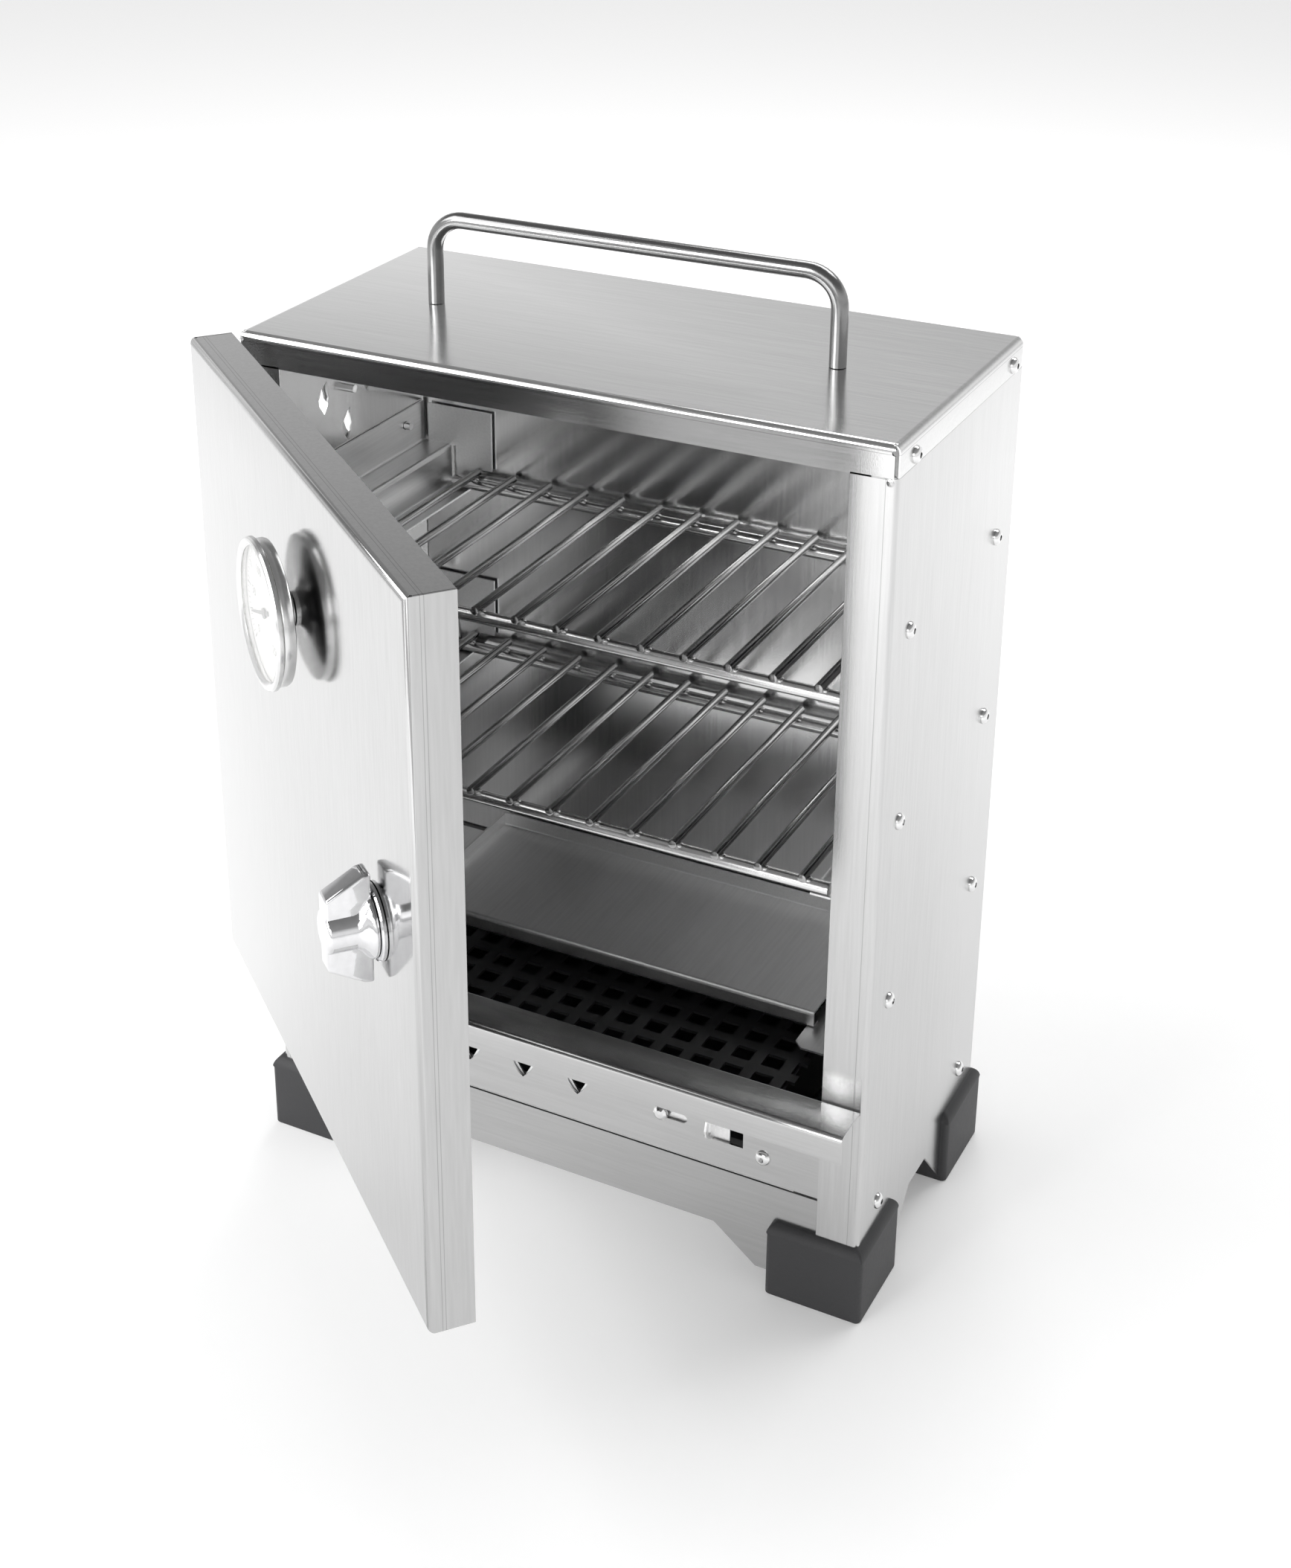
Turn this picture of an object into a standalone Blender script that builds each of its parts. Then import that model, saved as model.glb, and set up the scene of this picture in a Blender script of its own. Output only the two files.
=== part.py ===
"""Compact table-top smoker: a folded stainless cabinet with a hinged door, wire racks and a fire grate.

The cabinet is drawn with x from 0 at its left side to WIDTH, y from 0 at the front flange of the lid
to DEPTH, and z from the floor.  One empty carries it all, so that the origin ends at the middle of the
floor under the whole object.  The door hangs open.
"""

import math

import bmesh
import bpy
from mathutils import Matrix

MM = 0.001

# Overall sizes of the cabinet
WIDTH = 305 * MM
DEPTH = 150 * MM
HEIGHT = 415 * MM

# Sheet, fits and fasteners
SHEET = 1.0 * MM
GAP = 0.3 * MM
BEND = 1.6 * MM
HOLE_CLEARANCE = 0.3 * MM
SCREW_SHANK = 1.9 * MM
SCREW_HEAD = 3.75 * MM
SCREW_HEAD_RISE = 2.2 * MM
SCREW_LENGTH = 6.0 * MM

# Lid and its carry handle
LID_FLANGE = 14.3 * MM
LID_BEND = 3.0 * MM
HANDLE_ROD = 3.7 * MM
HANDLE_FOOT = 56 * MM
HANDLE_RISE = 39.5 * MM
HANDLE_BEND = 14.5 * MM

# Side panels
STILE = 20 * MM
REAR_FLANGE = 14 * MM
LEG_END = 3.6 * MM
ARCH_TOP = 28.5 * MM
ARCH_HALF = 10.5 * MM
ARCH_SLOPE = 24.0 * MM
SCREW_FRONT = 22 * MM
SCREW_BACK = DEPTH - 22 * MM
LID_SCREW_FRONT = 17.6 * MM
LID_SCREW_BACK = DEPTH - 15 * MM
LID_SCREW_DROP = 9 * MM
FLOOR_SCREW_FRONT = 49.2 * MM
FLOOR_SCREW_BACK = 52.0 * MM
BRACKET_SCREW = 154.7 * MM

# Front plate with the sill, and the skirt below it
OPENING_BOTTOM = 110.5 * MM
SILL_REACH = 21.5 * MM
SILL_LIP = 13 * MM
VENT_PLATE_BOTTOM = 58 * MM
VENT_PLATE_INSET = 9 * MM
FLOOR_TOP = 57 * MM
FLOOR_FLANGE = 13 * MM
SKIRT_BOTTOM = 26 * MM
SKIRT_END = 9 * MM
SKIRT_SLOPE_IN = 70 * MM
SKIRT_SLOPE_OUT = 49 * MM

# Air slider behind the front plate
FLAME_WIDTH = 12 * MM
FLAME_HEIGHT = 19 * MM
FLAME_FIRST = 80.4 * MM
FLAME_LAST_INSET = 139.1 * MM
FLAME_COUNT = 4
FLAME_PITCH = (WIDTH - FLAME_FIRST - FLAME_LAST_INSET) / (FLAME_COUNT - 1)
FLAME_LEVEL = 82 * MM
SLIDER_TRAVEL = 13 * MM
SLIDER_HEIGHT = 26 * MM
SLIDER_START = 52 * MM
SLIDER_END = WIDTH - 63 * MM
SLIDER_SCREWS = (57.5 * MM, WIDTH - 96.4 * MM)
SLIDER_SCREW_LEVEL = 77.5 * MM
TAB_PLACE = WIDTH - 71 * MM
TAB_REACH = 8 * MM
PLATE_SCREW_INSET = 46.3 * MM
PLATE_SCREW_LEVEL = 70.5 * MM

# Corner boots
BOOT_SIDE = 46 * MM
BOOT_PROUD = 3.6 * MM
BOOT_TOP = 39 * MM
BOOT_ARM = 11.5 * MM
BOOT_CORNER = 5 * MM

# Door and hinges
DOOR_WIDTH = WIDTH - 14 * MM
DOOR_DEPTH = 18.9 * MM
DOOR_SILL_GAP = 0.8 * MM
DOOR_OPEN = math.radians(39.8)
DOOR_BEND = 2.5 * MM
HINGE_X = -3.2 * MM
HINGE_Y = -0.3 * MM
DOOR_RIM_GAP = 0.5 * MM
HINGE_BARREL = 2.4 * MM
HINGE_PIN = 1.3 * MM
HINGE_BORE = 1.5 * MM
HINGE_LENGTH = 40 * MM
HINGE_LEAF = 20 * MM
HINGE_LEVELS = (("lower", 150 * MM), ("upper", HEIGHT - 80 * MM))

# Door thermometer
GAUGE_FROM_HINGE = 148 * MM
GAUGE_LEVEL = HEIGHT - 65 * MM
GAUGE_RADIUS = 30.5 * MM
GAUGE_STAND_OFF = 5.7 * MM
GAUGE_FRONT = 14.1 * MM
PROBE_RADIUS = 3.0 * MM
PROBE_LENGTH = 48 * MM
NEEDLE_TURN = math.radians(110)

# Latch
LATCH_FROM_HINGE = DOOR_WIDTH - 45.7 * MM
LATCH_LEVEL = 266 * MM
KNOB_RISE = 20.6 * MM
KNOB_RADIUS = 8.6 * MM
KNOB_FLARE = 13.5 * MM
COLLAR_RADIUS = 15 * MM
COLLAR_HEIGHT = 2.3 * MM
BAR_THICK = 9.5 * MM
BAR_INNER_HALF = 23.2 * MM
BAR_OUTER_HALF = 15 * MM
LATCH_SHAFT = 4.0 * MM
CAM_LENGTH = 46 * MM
CAM_HALF = 7 * MM
CAM_THICK = 2.5 * MM

# Racks and their rails
RACK_RODS = 13
ROD_RADIUS = 2.0 * MM
WIRE_RADIUS = 3.0 * MM
WIRE_OVERHANG = 11 * MM
RACK_INSET = 21.5 * MM
RACK_PITCH = (WIDTH - 2 * RACK_INSET - 2 * WIRE_OVERHANG) / (RACK_RODS - 1)
RACK_FRONT = 3.0 * MM
WIRE_INSET = 5.0 * MM
UPPER_RACK = HEIGHT - 110.5 * MM
LOWER_RACK = UPPER_RACK - 89.5 * MM
RACKS = (("upper", UPPER_RACK, 2.0 * MM), ("lower", LOWER_RACK, -2.0 * MM))
RAIL_DROP_INSET = 18 * MM
RAIL_LEDGE = 32 * MM
RAIL_SHELF_RISE = 20 * MM
RAIL_WALL = 21 * MM
RAIL_FRONT = 7 * MM
RAIL_CLEARANCE = 0.1 * MM
RAIL_STOP_OVERLAP = 0.3 * MM
RAIL_STOP_START = 6 * MM
RAIL_STOP_END = 42 * MM

# Drip tray, its brackets, the grate and the fire pan
TRAY_LEVEL = 108 * MM
TRAY_LEFT = 46 * MM
TRAY_RIGHT = WIDTH - 49 * MM
TRAY_FRONT = 61 * MM
TRAY_BACK = DEPTH - 5 * MM
TRAY_FLANGE = 7.5 * MM
BRACKET_SHELF = 52.5 * MM
BRACKET_LEVEL = 99.5 * MM
BRACKET_FRONT = 45 * MM
BRACKET_TOP = 165 * MM
GRATE_LEVEL = 88 * MM
GRATE_THICK = 1.5 * MM
GRATE_LEFT = 46 * MM
GRATE_RIGHT = WIDTH - 46 * MM
GRATE_FRONT = 8 * MM
GRATE_BACK = DEPTH - 8 * MM
GRATE_HOLE = 9.3 * MM
GRATE_PITCH = 15 * MM
GRATE_ROW = 33.5 * MM
GRATE_COLUMN = WIDTH - 50.3 * MM

# Smoke damper on the left side
DAMPER_Y = 78.6 * MM
DAMPER_Z = HEIGHT - 50.2 * MM
DAMPER_RADIUS = 31 * MM
DAMPER_RING = 18.5 * MM
DAMPER_TURN = math.radians(12)
VENT_WIDTH = 10 * MM
VENT_HEIGHT = 16 * MM
DAMPER_TAB = 7 * MM

FRONT_SKIN = SHEET + GAP
SIDE_SKIN = SHEET + GAP
SCREW_LEVELS = (
    (FLOOR_SCREW_FRONT, FLOOR_SCREW_BACK),
    (BRACKET_SCREW, BRACKET_SCREW),
    (LOWER_RACK + 27.2 * MM, LOWER_RACK + 27.2 * MM),
    (UPPER_RACK + 25 * MM, UPPER_RACK + 25 * MM),
)
DOOR_BOTTOM = OPENING_BOTTOM + DOOR_SILL_GAP
RAIL_BACK = DEPTH - FRONT_SKIN - 3 * SHEET - GAP + RAIL_STOP_OVERLAP - RAIL_CLEARANCE
RACK_BACK = RAIL_BACK - RAIL_STOP_OVERLAP - GAP
RACK_HALF = (RACK_RODS - 1) * RACK_PITCH / 2 + WIRE_OVERHANG
DOOR_LEFT = -HINGE_X
DOOR_RIM = -DOOR_RIM_GAP - HINGE_Y
DOOR_FACE = DOOR_RIM - DOOR_DEPTH

XZ_PLANE = Matrix.Rotation(math.pi / 2, 4, "X")
YZ_PLANE = Matrix(((0, 0, 1, 0), (1, 0, 0, 0), (0, 1, 0, 0), (0, 0, 0, 1)))
Y_AXIS = Matrix.Rotation(math.pi / 2, 4, "X")
X_AXIS = Matrix.Rotation(math.pi / 2, 4, "Y")


# ---------------------------------------------------------------- scene and materials


def clear_scene():
    for obj in list(bpy.data.objects):
        bpy.data.objects.remove(obj, do_unlink=True)


def make_collection(name):
    collection = bpy.data.collections.new(name)
    bpy.context.scene.collection.children.link(collection)
    return collection


def make_material(name, colour, roughness, metallic):
    material = bpy.data.materials.new(name)
    material.use_nodes = True
    shader = material.node_tree.nodes["Principled BSDF"]
    shader.inputs["Base Color"].default_value = (*colour, 1)
    shader.inputs["Roughness"].default_value = roughness
    shader.inputs["Metallic"].default_value = metallic
    return material


def sheet_steel(name):
    return make_material(name, (0.78, 0.78, 0.78), 0.25, 1.0)


def dark_rod(name):
    return make_material(name, (0.42, 0.41, 0.40), 0.3, 1.0)


def chrome(name):
    return make_material(name, (0.85, 0.85, 0.86), 0.06, 1.0)


def black_rubber(name):
    return make_material(name, (0.03, 0.03, 0.03), 0.65, 0.0)


def black_steel(name):
    return make_material(name, (0.06, 0.06, 0.06), 0.5, 0.6)


def white_card(name):
    return make_material(name, (0.9, 0.9, 0.88), 0.4, 0.0)


def clear_glass(name):
    return make_material(name, (0.9, 0.95, 0.95), 0.03, 0.0)


# ---------------------------------------------------------------- shaping helpers


def arc(centre, radius, start, end, steps):
    points = []
    for i in range(steps + 1):
        angle = start + (end - start) * i / steps
        points.append((centre[0] + radius * math.cos(angle), centre[1] + radius * math.sin(angle)))
    return points


def circle(centre, radius, steps=20):
    return arc(centre, radius, 0, 2 * math.pi, steps)[:-1]


def rectangle(low, high):
    return [low, (high[0], low[1]), high, (low[0], high[1])]


def round_corners(points, radius, steps=3):
    """Replace each corner of a closed outline by an arc; radius is one value or one for each corner."""
    radii = radius if isinstance(radius, (list, tuple)) else [radius] * len(points)
    result = []
    for i, point in enumerate(points):
        before = points[i - 1]
        after = points[(i + 1) % len(points)]
        if radii[i] <= 0:
            result.append(point)
            continue
        u = unit((before[0] - point[0], before[1] - point[1]))
        v = unit((after[0] - point[0], after[1] - point[1]))
        half = math.acos(max(-1.0, min(1.0, u[0] * v[0] + u[1] * v[1]))) / 2
        reach = radii[i] / math.tan(half)
        bisector = unit((u[0] + v[0], u[1] + v[1]))
        distance = radii[i] / math.sin(half)
        centre = (point[0] + bisector[0] * distance, point[1] + bisector[1] * distance)
        first = (point[0] + u[0] * reach, point[1] + u[1] * reach)
        last = (point[0] + v[0] * reach, point[1] + v[1] * reach)
        start = math.atan2(first[1] - centre[1], first[0] - centre[0])
        turn = math.atan2(last[1] - centre[1], last[0] - centre[0]) - start
        turn = (turn + math.pi) % (2 * math.pi) - math.pi
        result.extend(arc(centre, radii[i], start, start + turn, steps))
    return result


def unit(vector):
    length = math.hypot(*vector)
    return tuple(component / length for component in vector)


def folded_strip(points, thickness=SHEET, bend=BEND, steps=3):
    """Closed outline of a sheet whose middle line runs through points, with a round bend at each corner."""
    sides = []
    for side in (1, -1):
        line = []
        for i, point in enumerate(points):
            if i in (0, len(points) - 1):
                other = points[1] if i == 0 else points[-2]
                along = unit((other[0] - point[0], other[1] - point[1]))
                if i:
                    along = (-along[0], -along[1])
                half = side * thickness / 2
                line.append((point[0] - half * along[1], point[1] + half * along[0]))
                continue
            line.extend(bend_points(points[i - 1], point, points[i + 1], side, thickness, bend, steps))
        sides.append(line)
    return sides[0] + sides[1][::-1]


def bend_points(before, point, after, side, thickness, bend, steps):
    u = unit((point[0] - before[0], point[1] - before[1]))
    v = unit((after[0] - point[0], after[1] - point[1]))
    cross = u[0] * v[1] - u[1] * v[0]
    turn = math.atan2(cross, u[0] * v[0] + u[1] * v[1])
    way = 1 if turn > 0 else -1
    reach = bend * math.tan(abs(turn) / 2)
    start = (point[0] - u[0] * reach, point[1] - u[1] * reach)
    centre = (start[0] - u[1] * way * bend, start[1] + u[0] * way * bend)
    radius = bend - way * side * thickness / 2
    angle = math.atan2(start[1] - centre[1], start[0] - centre[0])
    return arc(centre, radius, angle, angle + turn, steps)


def flame(centre, width=FLAME_WIDTH, height=FLAME_HEIGHT):
    """Small leaf-shaped air hole with a point below and a swept tip above."""
    right = ((0.05, -1.0), (0.55, -0.4), (0.8, 0.0), (0.5, 0.35))
    left = ((0.45, 1.0), (-0.1, 0.55), (-0.8, 0.25), (-0.6, -0.35))
    return [(centre[0] + x * width / 2, centre[1] + y * height / 2) for x, y in right + left]


def outline_object(name, outlines, thickness, plane=None, offset=0.0):
    """Flat plate from its outline and those of its holes; plane turns it, offset moves it square to it."""
    curve = bpy.data.curves.new(name, "CURVE")
    curve.dimensions = "2D"
    curve.fill_mode = "BOTH"
    curve.extrude = thickness / 2
    for points in outlines:
        spline = curve.splines.new("POLY")
        spline.points.add(len(points) - 1)
        for control, point in zip(spline.points, points):
            control.co = (point[0], point[1], 0, 1)
        spline.use_cyclic_u = True
    obj = mesh_from_curve(name, curve)
    obj.data.transform(Matrix.Translation((0, 0, offset)))
    if plane:
        obj.data.transform(plane)
    return obj


def rod_object(name, points, radius, sides=3):
    """Round rod along a path of straight and bent stretches."""
    curve = bpy.data.curves.new(name, "CURVE")
    curve.dimensions = "3D"
    curve.bevel_depth = radius
    curve.bevel_resolution = sides
    curve.use_fill_caps = True
    spline = curve.splines.new("POLY")
    spline.points.add(len(points) - 1)
    for control, point in zip(spline.points, points):
        control.co = (*point, 1)
    return mesh_from_curve(name, curve)


def mesh_from_curve(name, curve):
    source = bpy.data.objects.new(name + "_curve", curve)
    bpy.context.scene.collection.objects.link(source)
    bpy.context.view_layer.update()
    evaluated = source.evaluated_get(bpy.context.evaluated_depsgraph_get())
    mesh = bpy.data.meshes.new_from_object(evaluated)
    mesh.name = name
    bpy.data.objects.remove(source, do_unlink=True)
    shell = bmesh.new()
    shell.from_mesh(mesh)
    bmesh.ops.remove_doubles(shell, verts=shell.verts, dist=1e-6)
    bmesh.ops.recalc_face_normals(shell, faces=shell.faces)
    shell.to_mesh(mesh)
    shell.free()
    return bpy.data.objects.new(name, mesh)


def turned_object(name, profile, steps=32):
    """Body turned about z from (radius, height) points that run down its outer side."""
    mesh = bpy.data.meshes.new(name)
    shell = bmesh.new()
    verts = [shell.verts.new((radius, 0, height)) for radius, height in profile]
    for first, second in zip(verts, verts[1:]):
        shell.edges.new((first, second))
    if profile[0][0] > 0:
        shell.edges.new((verts[-1], verts[0]))
    shell.to_mesh(mesh)
    shell.free()
    obj = bpy.data.objects.new(name, mesh)
    screw = obj.modifiers.new("turn", "SCREW")
    screw.steps = steps
    screw.render_steps = steps
    screw.use_merge_vertices = True
    screw.merge_threshold = 1e-6
    return baked(obj)


def cylinder_object(name, radius, low, high, steps=20):
    mesh = bpy.data.meshes.new(name)
    shell = bmesh.new()
    bmesh.ops.create_cone(
        shell, cap_ends=True, segments=steps, radius1=radius, radius2=radius, depth=high - low
    )
    bmesh.ops.translate(shell, verts=shell.verts, vec=(0, 0, (low + high) / 2))
    shell.to_mesh(mesh)
    shell.free()
    return bpy.data.objects.new(name, mesh)


def box_object(name, low, high):
    mesh = bpy.data.meshes.new(name)
    shell = bmesh.new()
    bmesh.ops.create_cube(shell, size=1)
    size = [b - a for a, b in zip(low, high)]
    middle = [(a + b) / 2 for a, b in zip(low, high)]
    bmesh.ops.scale(shell, verts=shell.verts, vec=size)
    bmesh.ops.translate(shell, verts=shell.verts, vec=middle)
    shell.to_mesh(mesh)
    shell.free()
    return bpy.data.objects.new(name, mesh)


def pan_object(name, low, high, open_face, bend, thickness=SHEET):
    """Folded pan: a box without its open_face, its edges bent round, as thick as the sheet."""
    obj = box_object(name, low, high)
    normals = {"top": (0, 0, 1), "bottom": (0, 0, -1), "back": (0, 1, 0)}
    wanted = normals[open_face]
    shell = bmesh.new()
    shell.from_mesh(obj.data)
    shell.normal_update()
    gone = [face for face in shell.faces if sum(a * b for a, b in zip(face.normal, wanted)) > 0.9]
    bmesh.ops.delete(shell, geom=gone, context="FACES")
    bent = [edge for edge in shell.edges if len(edge.link_faces) == 2]
    bmesh.ops.bevel(
        shell, geom=bent, offset=bend, offset_type="OFFSET", segments=3, profile=0.5, affect="EDGES"
    )
    shell.to_mesh(obj.data)
    shell.free()
    solid = obj.modifiers.new("sheet", "SOLIDIFY")
    solid.thickness = thickness
    solid.offset = -1
    solid.use_even_offset = True
    return baked(obj)


def baked(obj):
    """Put the result of an object's modifiers into its mesh."""
    bpy.context.scene.collection.objects.link(obj)
    bpy.context.view_layer.update()
    evaluated = obj.evaluated_get(bpy.context.evaluated_depsgraph_get())
    mesh = bpy.data.meshes.new_from_object(evaluated)
    mesh.name = obj.name
    obj.modifiers.clear()
    obj.data = mesh
    bpy.context.scene.collection.objects.unlink(obj)
    return obj


def joined(name, objects):
    """One object that holds the separate bodies of several."""
    shell = bmesh.new()
    for obj in objects:
        shell.from_mesh(obj.data)
        bpy.data.objects.remove(obj, do_unlink=True)
    mesh = bpy.data.meshes.new(name)
    shell.to_mesh(mesh)
    shell.free()
    return bpy.data.objects.new(name, mesh)


def combined(obj, other, operation, solver="EXACT"):
    """Cut other out of obj, or join it on; other stays as a guide in the cutters' collection."""
    if other.name not in CUTTERS.objects:
        CUTTERS.objects.link(other)
    other.hide_render = True
    other.display_type = "WIRE"
    boolean = obj.modifiers.new(other.name, "BOOLEAN")
    boolean.operation = operation
    boolean.solver = solver
    boolean.object = other
    return baked(obj)


def cut(obj, *cutters):
    for cutter in cutters:
        combined(obj, cutter, "DIFFERENCE")
    return obj


def add(obj, *others):
    for other in others:
        combined(obj, other, "UNION")
    return obj


def finish(obj, material, parent, smooth=False):
    """Give a finished part its material and hang it on its empty."""
    obj.data.materials.clear()
    obj.data.materials.append(material)
    PARTS.objects.link(obj)
    obj.parent = parent
    if smooth:
        obj.data.shade_smooth()
        obj.data.set_sharp_from_angle(angle=math.radians(35))
    return obj


def empty(name, place, parent=None, turn=0.0):
    obj = bpy.data.objects.new(name, None)
    PARTS.objects.link(obj)
    obj.parent = parent
    obj.location = place
    obj.rotation_euler = (0, 0, turn)
    return obj


# ---------------------------------------------------------------- cabinet


def side_screw_places():
    """(y, z, lies on the lid) of the screws on one side."""
    lid_level = HEIGHT - LID_SCREW_DROP
    places = [(LID_SCREW_FRONT, lid_level, True), (LID_SCREW_BACK, lid_level, True)]
    for front_level, back_level in SCREW_LEVELS:
        places.append((SCREW_FRONT, front_level, False))
        places.append((SCREW_BACK, back_level, False))
    return places


def side_screw_holes(name):
    holes = []
    for number, (y, z, _) in enumerate(side_screw_places()):
        hole = cylinder_object(f"{name}_{number}", SCREW_SHANK + HOLE_CLEARANCE, -8 * MM, 8 * MM, 12)
        hole.data.transform(Matrix.Translation((WIDTH, y, z)) @ X_AXIS)
        holes.append(hole)
        twin = hole.data.copy()
        twin.transform(Matrix.Translation((-WIDTH, 0, 0)))
        holes.append(bpy.data.objects.new(f"{name}_{number}_left", twin))
    return joined(name, holes)


def make_lid(parent):
    lid = pan_object(
        "lid", (0, 0, HEIGHT - LID_FLANGE), (WIDTH, DEPTH, HEIGHT), "bottom", LID_BEND
    )
    cut(lid, side_screw_holes("lid_screw_holes"))
    finish(lid, sheet_steel("lid_steel"), parent)


def make_handle(parent):
    y = DEPTH / 2
    foot = HEIGHT + GAP
    top = HEIGHT + HANDLE_RISE
    left = arc((HANDLE_FOOT + HANDLE_BEND, top - HANDLE_BEND), HANDLE_BEND, math.pi, math.pi / 2, 6)
    right = arc((WIDTH - HANDLE_FOOT - HANDLE_BEND, top - HANDLE_BEND), HANDLE_BEND, math.pi / 2, 0, 6)
    path = [(HANDLE_FOOT, foot)] + left + right + [(WIDTH - HANDLE_FOOT, foot)]
    handle = rod_object("carry_handle", [(x, y, z) for x, z in path], HANDLE_ROD, 4)
    finish(handle, dark_rod("handle_steel"), parent, True)


def arch_cutter(name):
    """Opening between two feet of a side panel or of the back."""
    middle = DEPTH / 2
    low = -5 * MM
    outer = ARCH_HALF + ARCH_SLOPE
    points = [
        (middle - outer, low),
        (middle + outer, low),
        (middle + ARCH_HALF, ARCH_TOP),
        (middle - ARCH_HALF, ARCH_TOP),
    ]
    return outline_object(name, [points], 3 * WIDTH, YZ_PLANE)


def side_profile():
    """Plan section of the left panel: front stile, wall and rear flange."""
    x = SIDE_SKIN + SHEET / 2
    front = FRONT_SKIN + SHEET / 2
    back = DEPTH - FRONT_SKIN - SHEET - GAP - SHEET / 2
    return folded_strip([(STILE, front), (x, front), (x, back), (REAR_FLANGE, back)], bend=BEND)


def make_side_panel(side, parent):
    bottom = LEG_END
    top = HEIGHT - LID_BEND - GAP
    panel = outline_object(
        side + "_side_panel", [side_profile()], top - bottom, None, (top + bottom) / 2
    )
    if side == "right":
        panel.data.transform(Matrix.Translation((WIDTH, 0, 0)) @ Matrix.Diagonal((-1, 1, 1, 1)))
        panel.data.flip_normals()
    cut(panel, arch_cutter(side + "_arch"), side_screw_holes(side + "_panel_holes"))
    if side == "left":
        cut(panel, vent_cutter("wall_vents", 0.0), damper_bore("wall_bore"))
    finish(panel, sheet_steel(side + "_panel_steel"), parent)


def make_back_panel(parent):
    top = HEIGHT - LID_BEND - GAP
    left = SIDE_SKIN + SHEET + GAP
    right = WIDTH - left
    outline = [
        (left, LEG_END),
        (SKIRT_SLOPE_OUT - 4 * MM, LEG_END),
        (SKIRT_SLOPE_IN, ARCH_TOP),
        (WIDTH - SKIRT_SLOPE_IN, ARCH_TOP),
        (WIDTH - SKIRT_SLOPE_OUT + 4 * MM, LEG_END),
        (right, LEG_END),
        (right, top),
        (left, top),
    ]
    back = -(DEPTH - FRONT_SKIN - SHEET / 2)
    panel = outline_object("back_panel", [outline], SHEET, XZ_PLANE, back)
    finish(panel, sheet_steel("back_steel"), parent)


def flame_row():
    return [flame((FLAME_FIRST + i * FLAME_PITCH, FLAME_LEVEL)) for i in range(FLAME_COUNT)]


def slot_outline(start, end, level, half):
    right = arc((end, level), half, -math.pi / 2, math.pi / 2, 4)
    left = arc((start, level), half, math.pi / 2, 3 * math.pi / 2, 4)
    return right + left


def make_front_plate(parent):
    """Plate with the air holes; its top edge is folded forward into the sill and down into a lip."""
    left = VENT_PLATE_INSET
    right = WIDTH - VENT_PLATE_INSET
    middle = SHEET / 2
    sill = OPENING_BOTTOM - SHEET / 2
    profile = folded_strip(
        [
            (middle, VENT_PLATE_BOTTOM),
            (middle, sill),
            (-SILL_REACH + SHEET / 2, sill),
            (-SILL_REACH + SHEET / 2, OPENING_BOTTOM - SILL_LIP),
        ]
    )
    plate = outline_object(
        "front_vent_plate", [profile], right - left, YZ_PLANE, (left + right) / 2
    )
    holes = flame_row()
    for place in SLIDER_SCREWS:
        holes.append(
            slot_outline(place, place + SLIDER_TRAVEL, SLIDER_SCREW_LEVEL, SCREW_SHANK + HOLE_CLEARANCE)
        )
    window_low = FLAME_LEVEL - SLIDER_HEIGHT / 2 + 3 * MM
    window_high = FLAME_LEVEL + SLIDER_HEIGHT / 2 - 5 * MM
    holes.append(
        rectangle((TAB_PLACE - 4 * MM, window_low), (TAB_PLACE + SLIDER_TRAVEL + 2 * MM, window_high))
    )
    for place in (PLATE_SCREW_INSET, WIDTH - PLATE_SCREW_INSET):
        holes.append(circle((place, PLATE_SCREW_LEVEL), SCREW_SHANK + HOLE_CLEARANCE, 12))
    cutters = [
        outline_object(f"plate_hole_{i}", [points], 6 * MM, XZ_PLANE) for i, points in enumerate(holes)
    ]
    combined(plate, joined("plate_holes", cutters), "DIFFERENCE", "MANIFOLD")
    finish(plate, sheet_steel("front_plate_steel"), parent)


def make_skirt(parent):
    left = STILE + GAP
    right = WIDTH - left
    top = FLOOR_TOP - SHEET - GAP
    outline = [
        (left, SKIRT_END),
        (SKIRT_SLOPE_OUT, SKIRT_END),
        (SKIRT_SLOPE_IN, SKIRT_BOTTOM),
        (WIDTH - SKIRT_SLOPE_IN, SKIRT_BOTTOM),
        (WIDTH - SKIRT_SLOPE_OUT, SKIRT_END),
        (right, SKIRT_END),
        (right, top),
        (left, top),
    ]
    skirt = outline_object("front_skirt", [outline], SHEET, XZ_PLANE, -(FRONT_SKIN + SHEET / 2))
    finish(skirt, sheet_steel("skirt_steel"), parent)


def make_base_floor(parent):
    """Floor of the cabinet, with its side edges folded down to the screws."""
    left = SIDE_SKIN + SHEET + GAP + SHEET / 2
    right = WIDTH - left
    low = FLOOR_TOP - FLOOR_FLANGE
    level = FLOOR_TOP - SHEET / 2
    profile = folded_strip([(left, low), (left, level), (right, level), (right, low)])
    front = FRONT_SKIN + SHEET + BEND
    back = DEPTH - FRONT_SKIN - 2 * SHEET - GAP - BEND
    floor = outline_object("base_floor", [profile], back - front, XZ_PLANE, -(front + back) / 2)
    cut(floor, side_screw_holes("floor_screw_holes"))
    finish(floor, sheet_steel("floor_steel"), parent)


def screw_object(name, matrix, length=SCREW_LENGTH):
    """Button-head screw; its head stands on z = 0 and its shank points down."""
    profile = [
        (0, SCREW_HEAD_RISE),
        (SCREW_HEAD * 0.55, SCREW_HEAD_RISE * 0.9),
        (SCREW_HEAD * 0.9, SCREW_HEAD_RISE * 0.5),
        (SCREW_HEAD, 0),
        (SCREW_SHANK, 0),
        (SCREW_SHANK, -length),
        (0, -length),
    ]
    screw = turned_object(name, profile, 12)
    screw.data.transform(matrix)
    return screw


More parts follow.
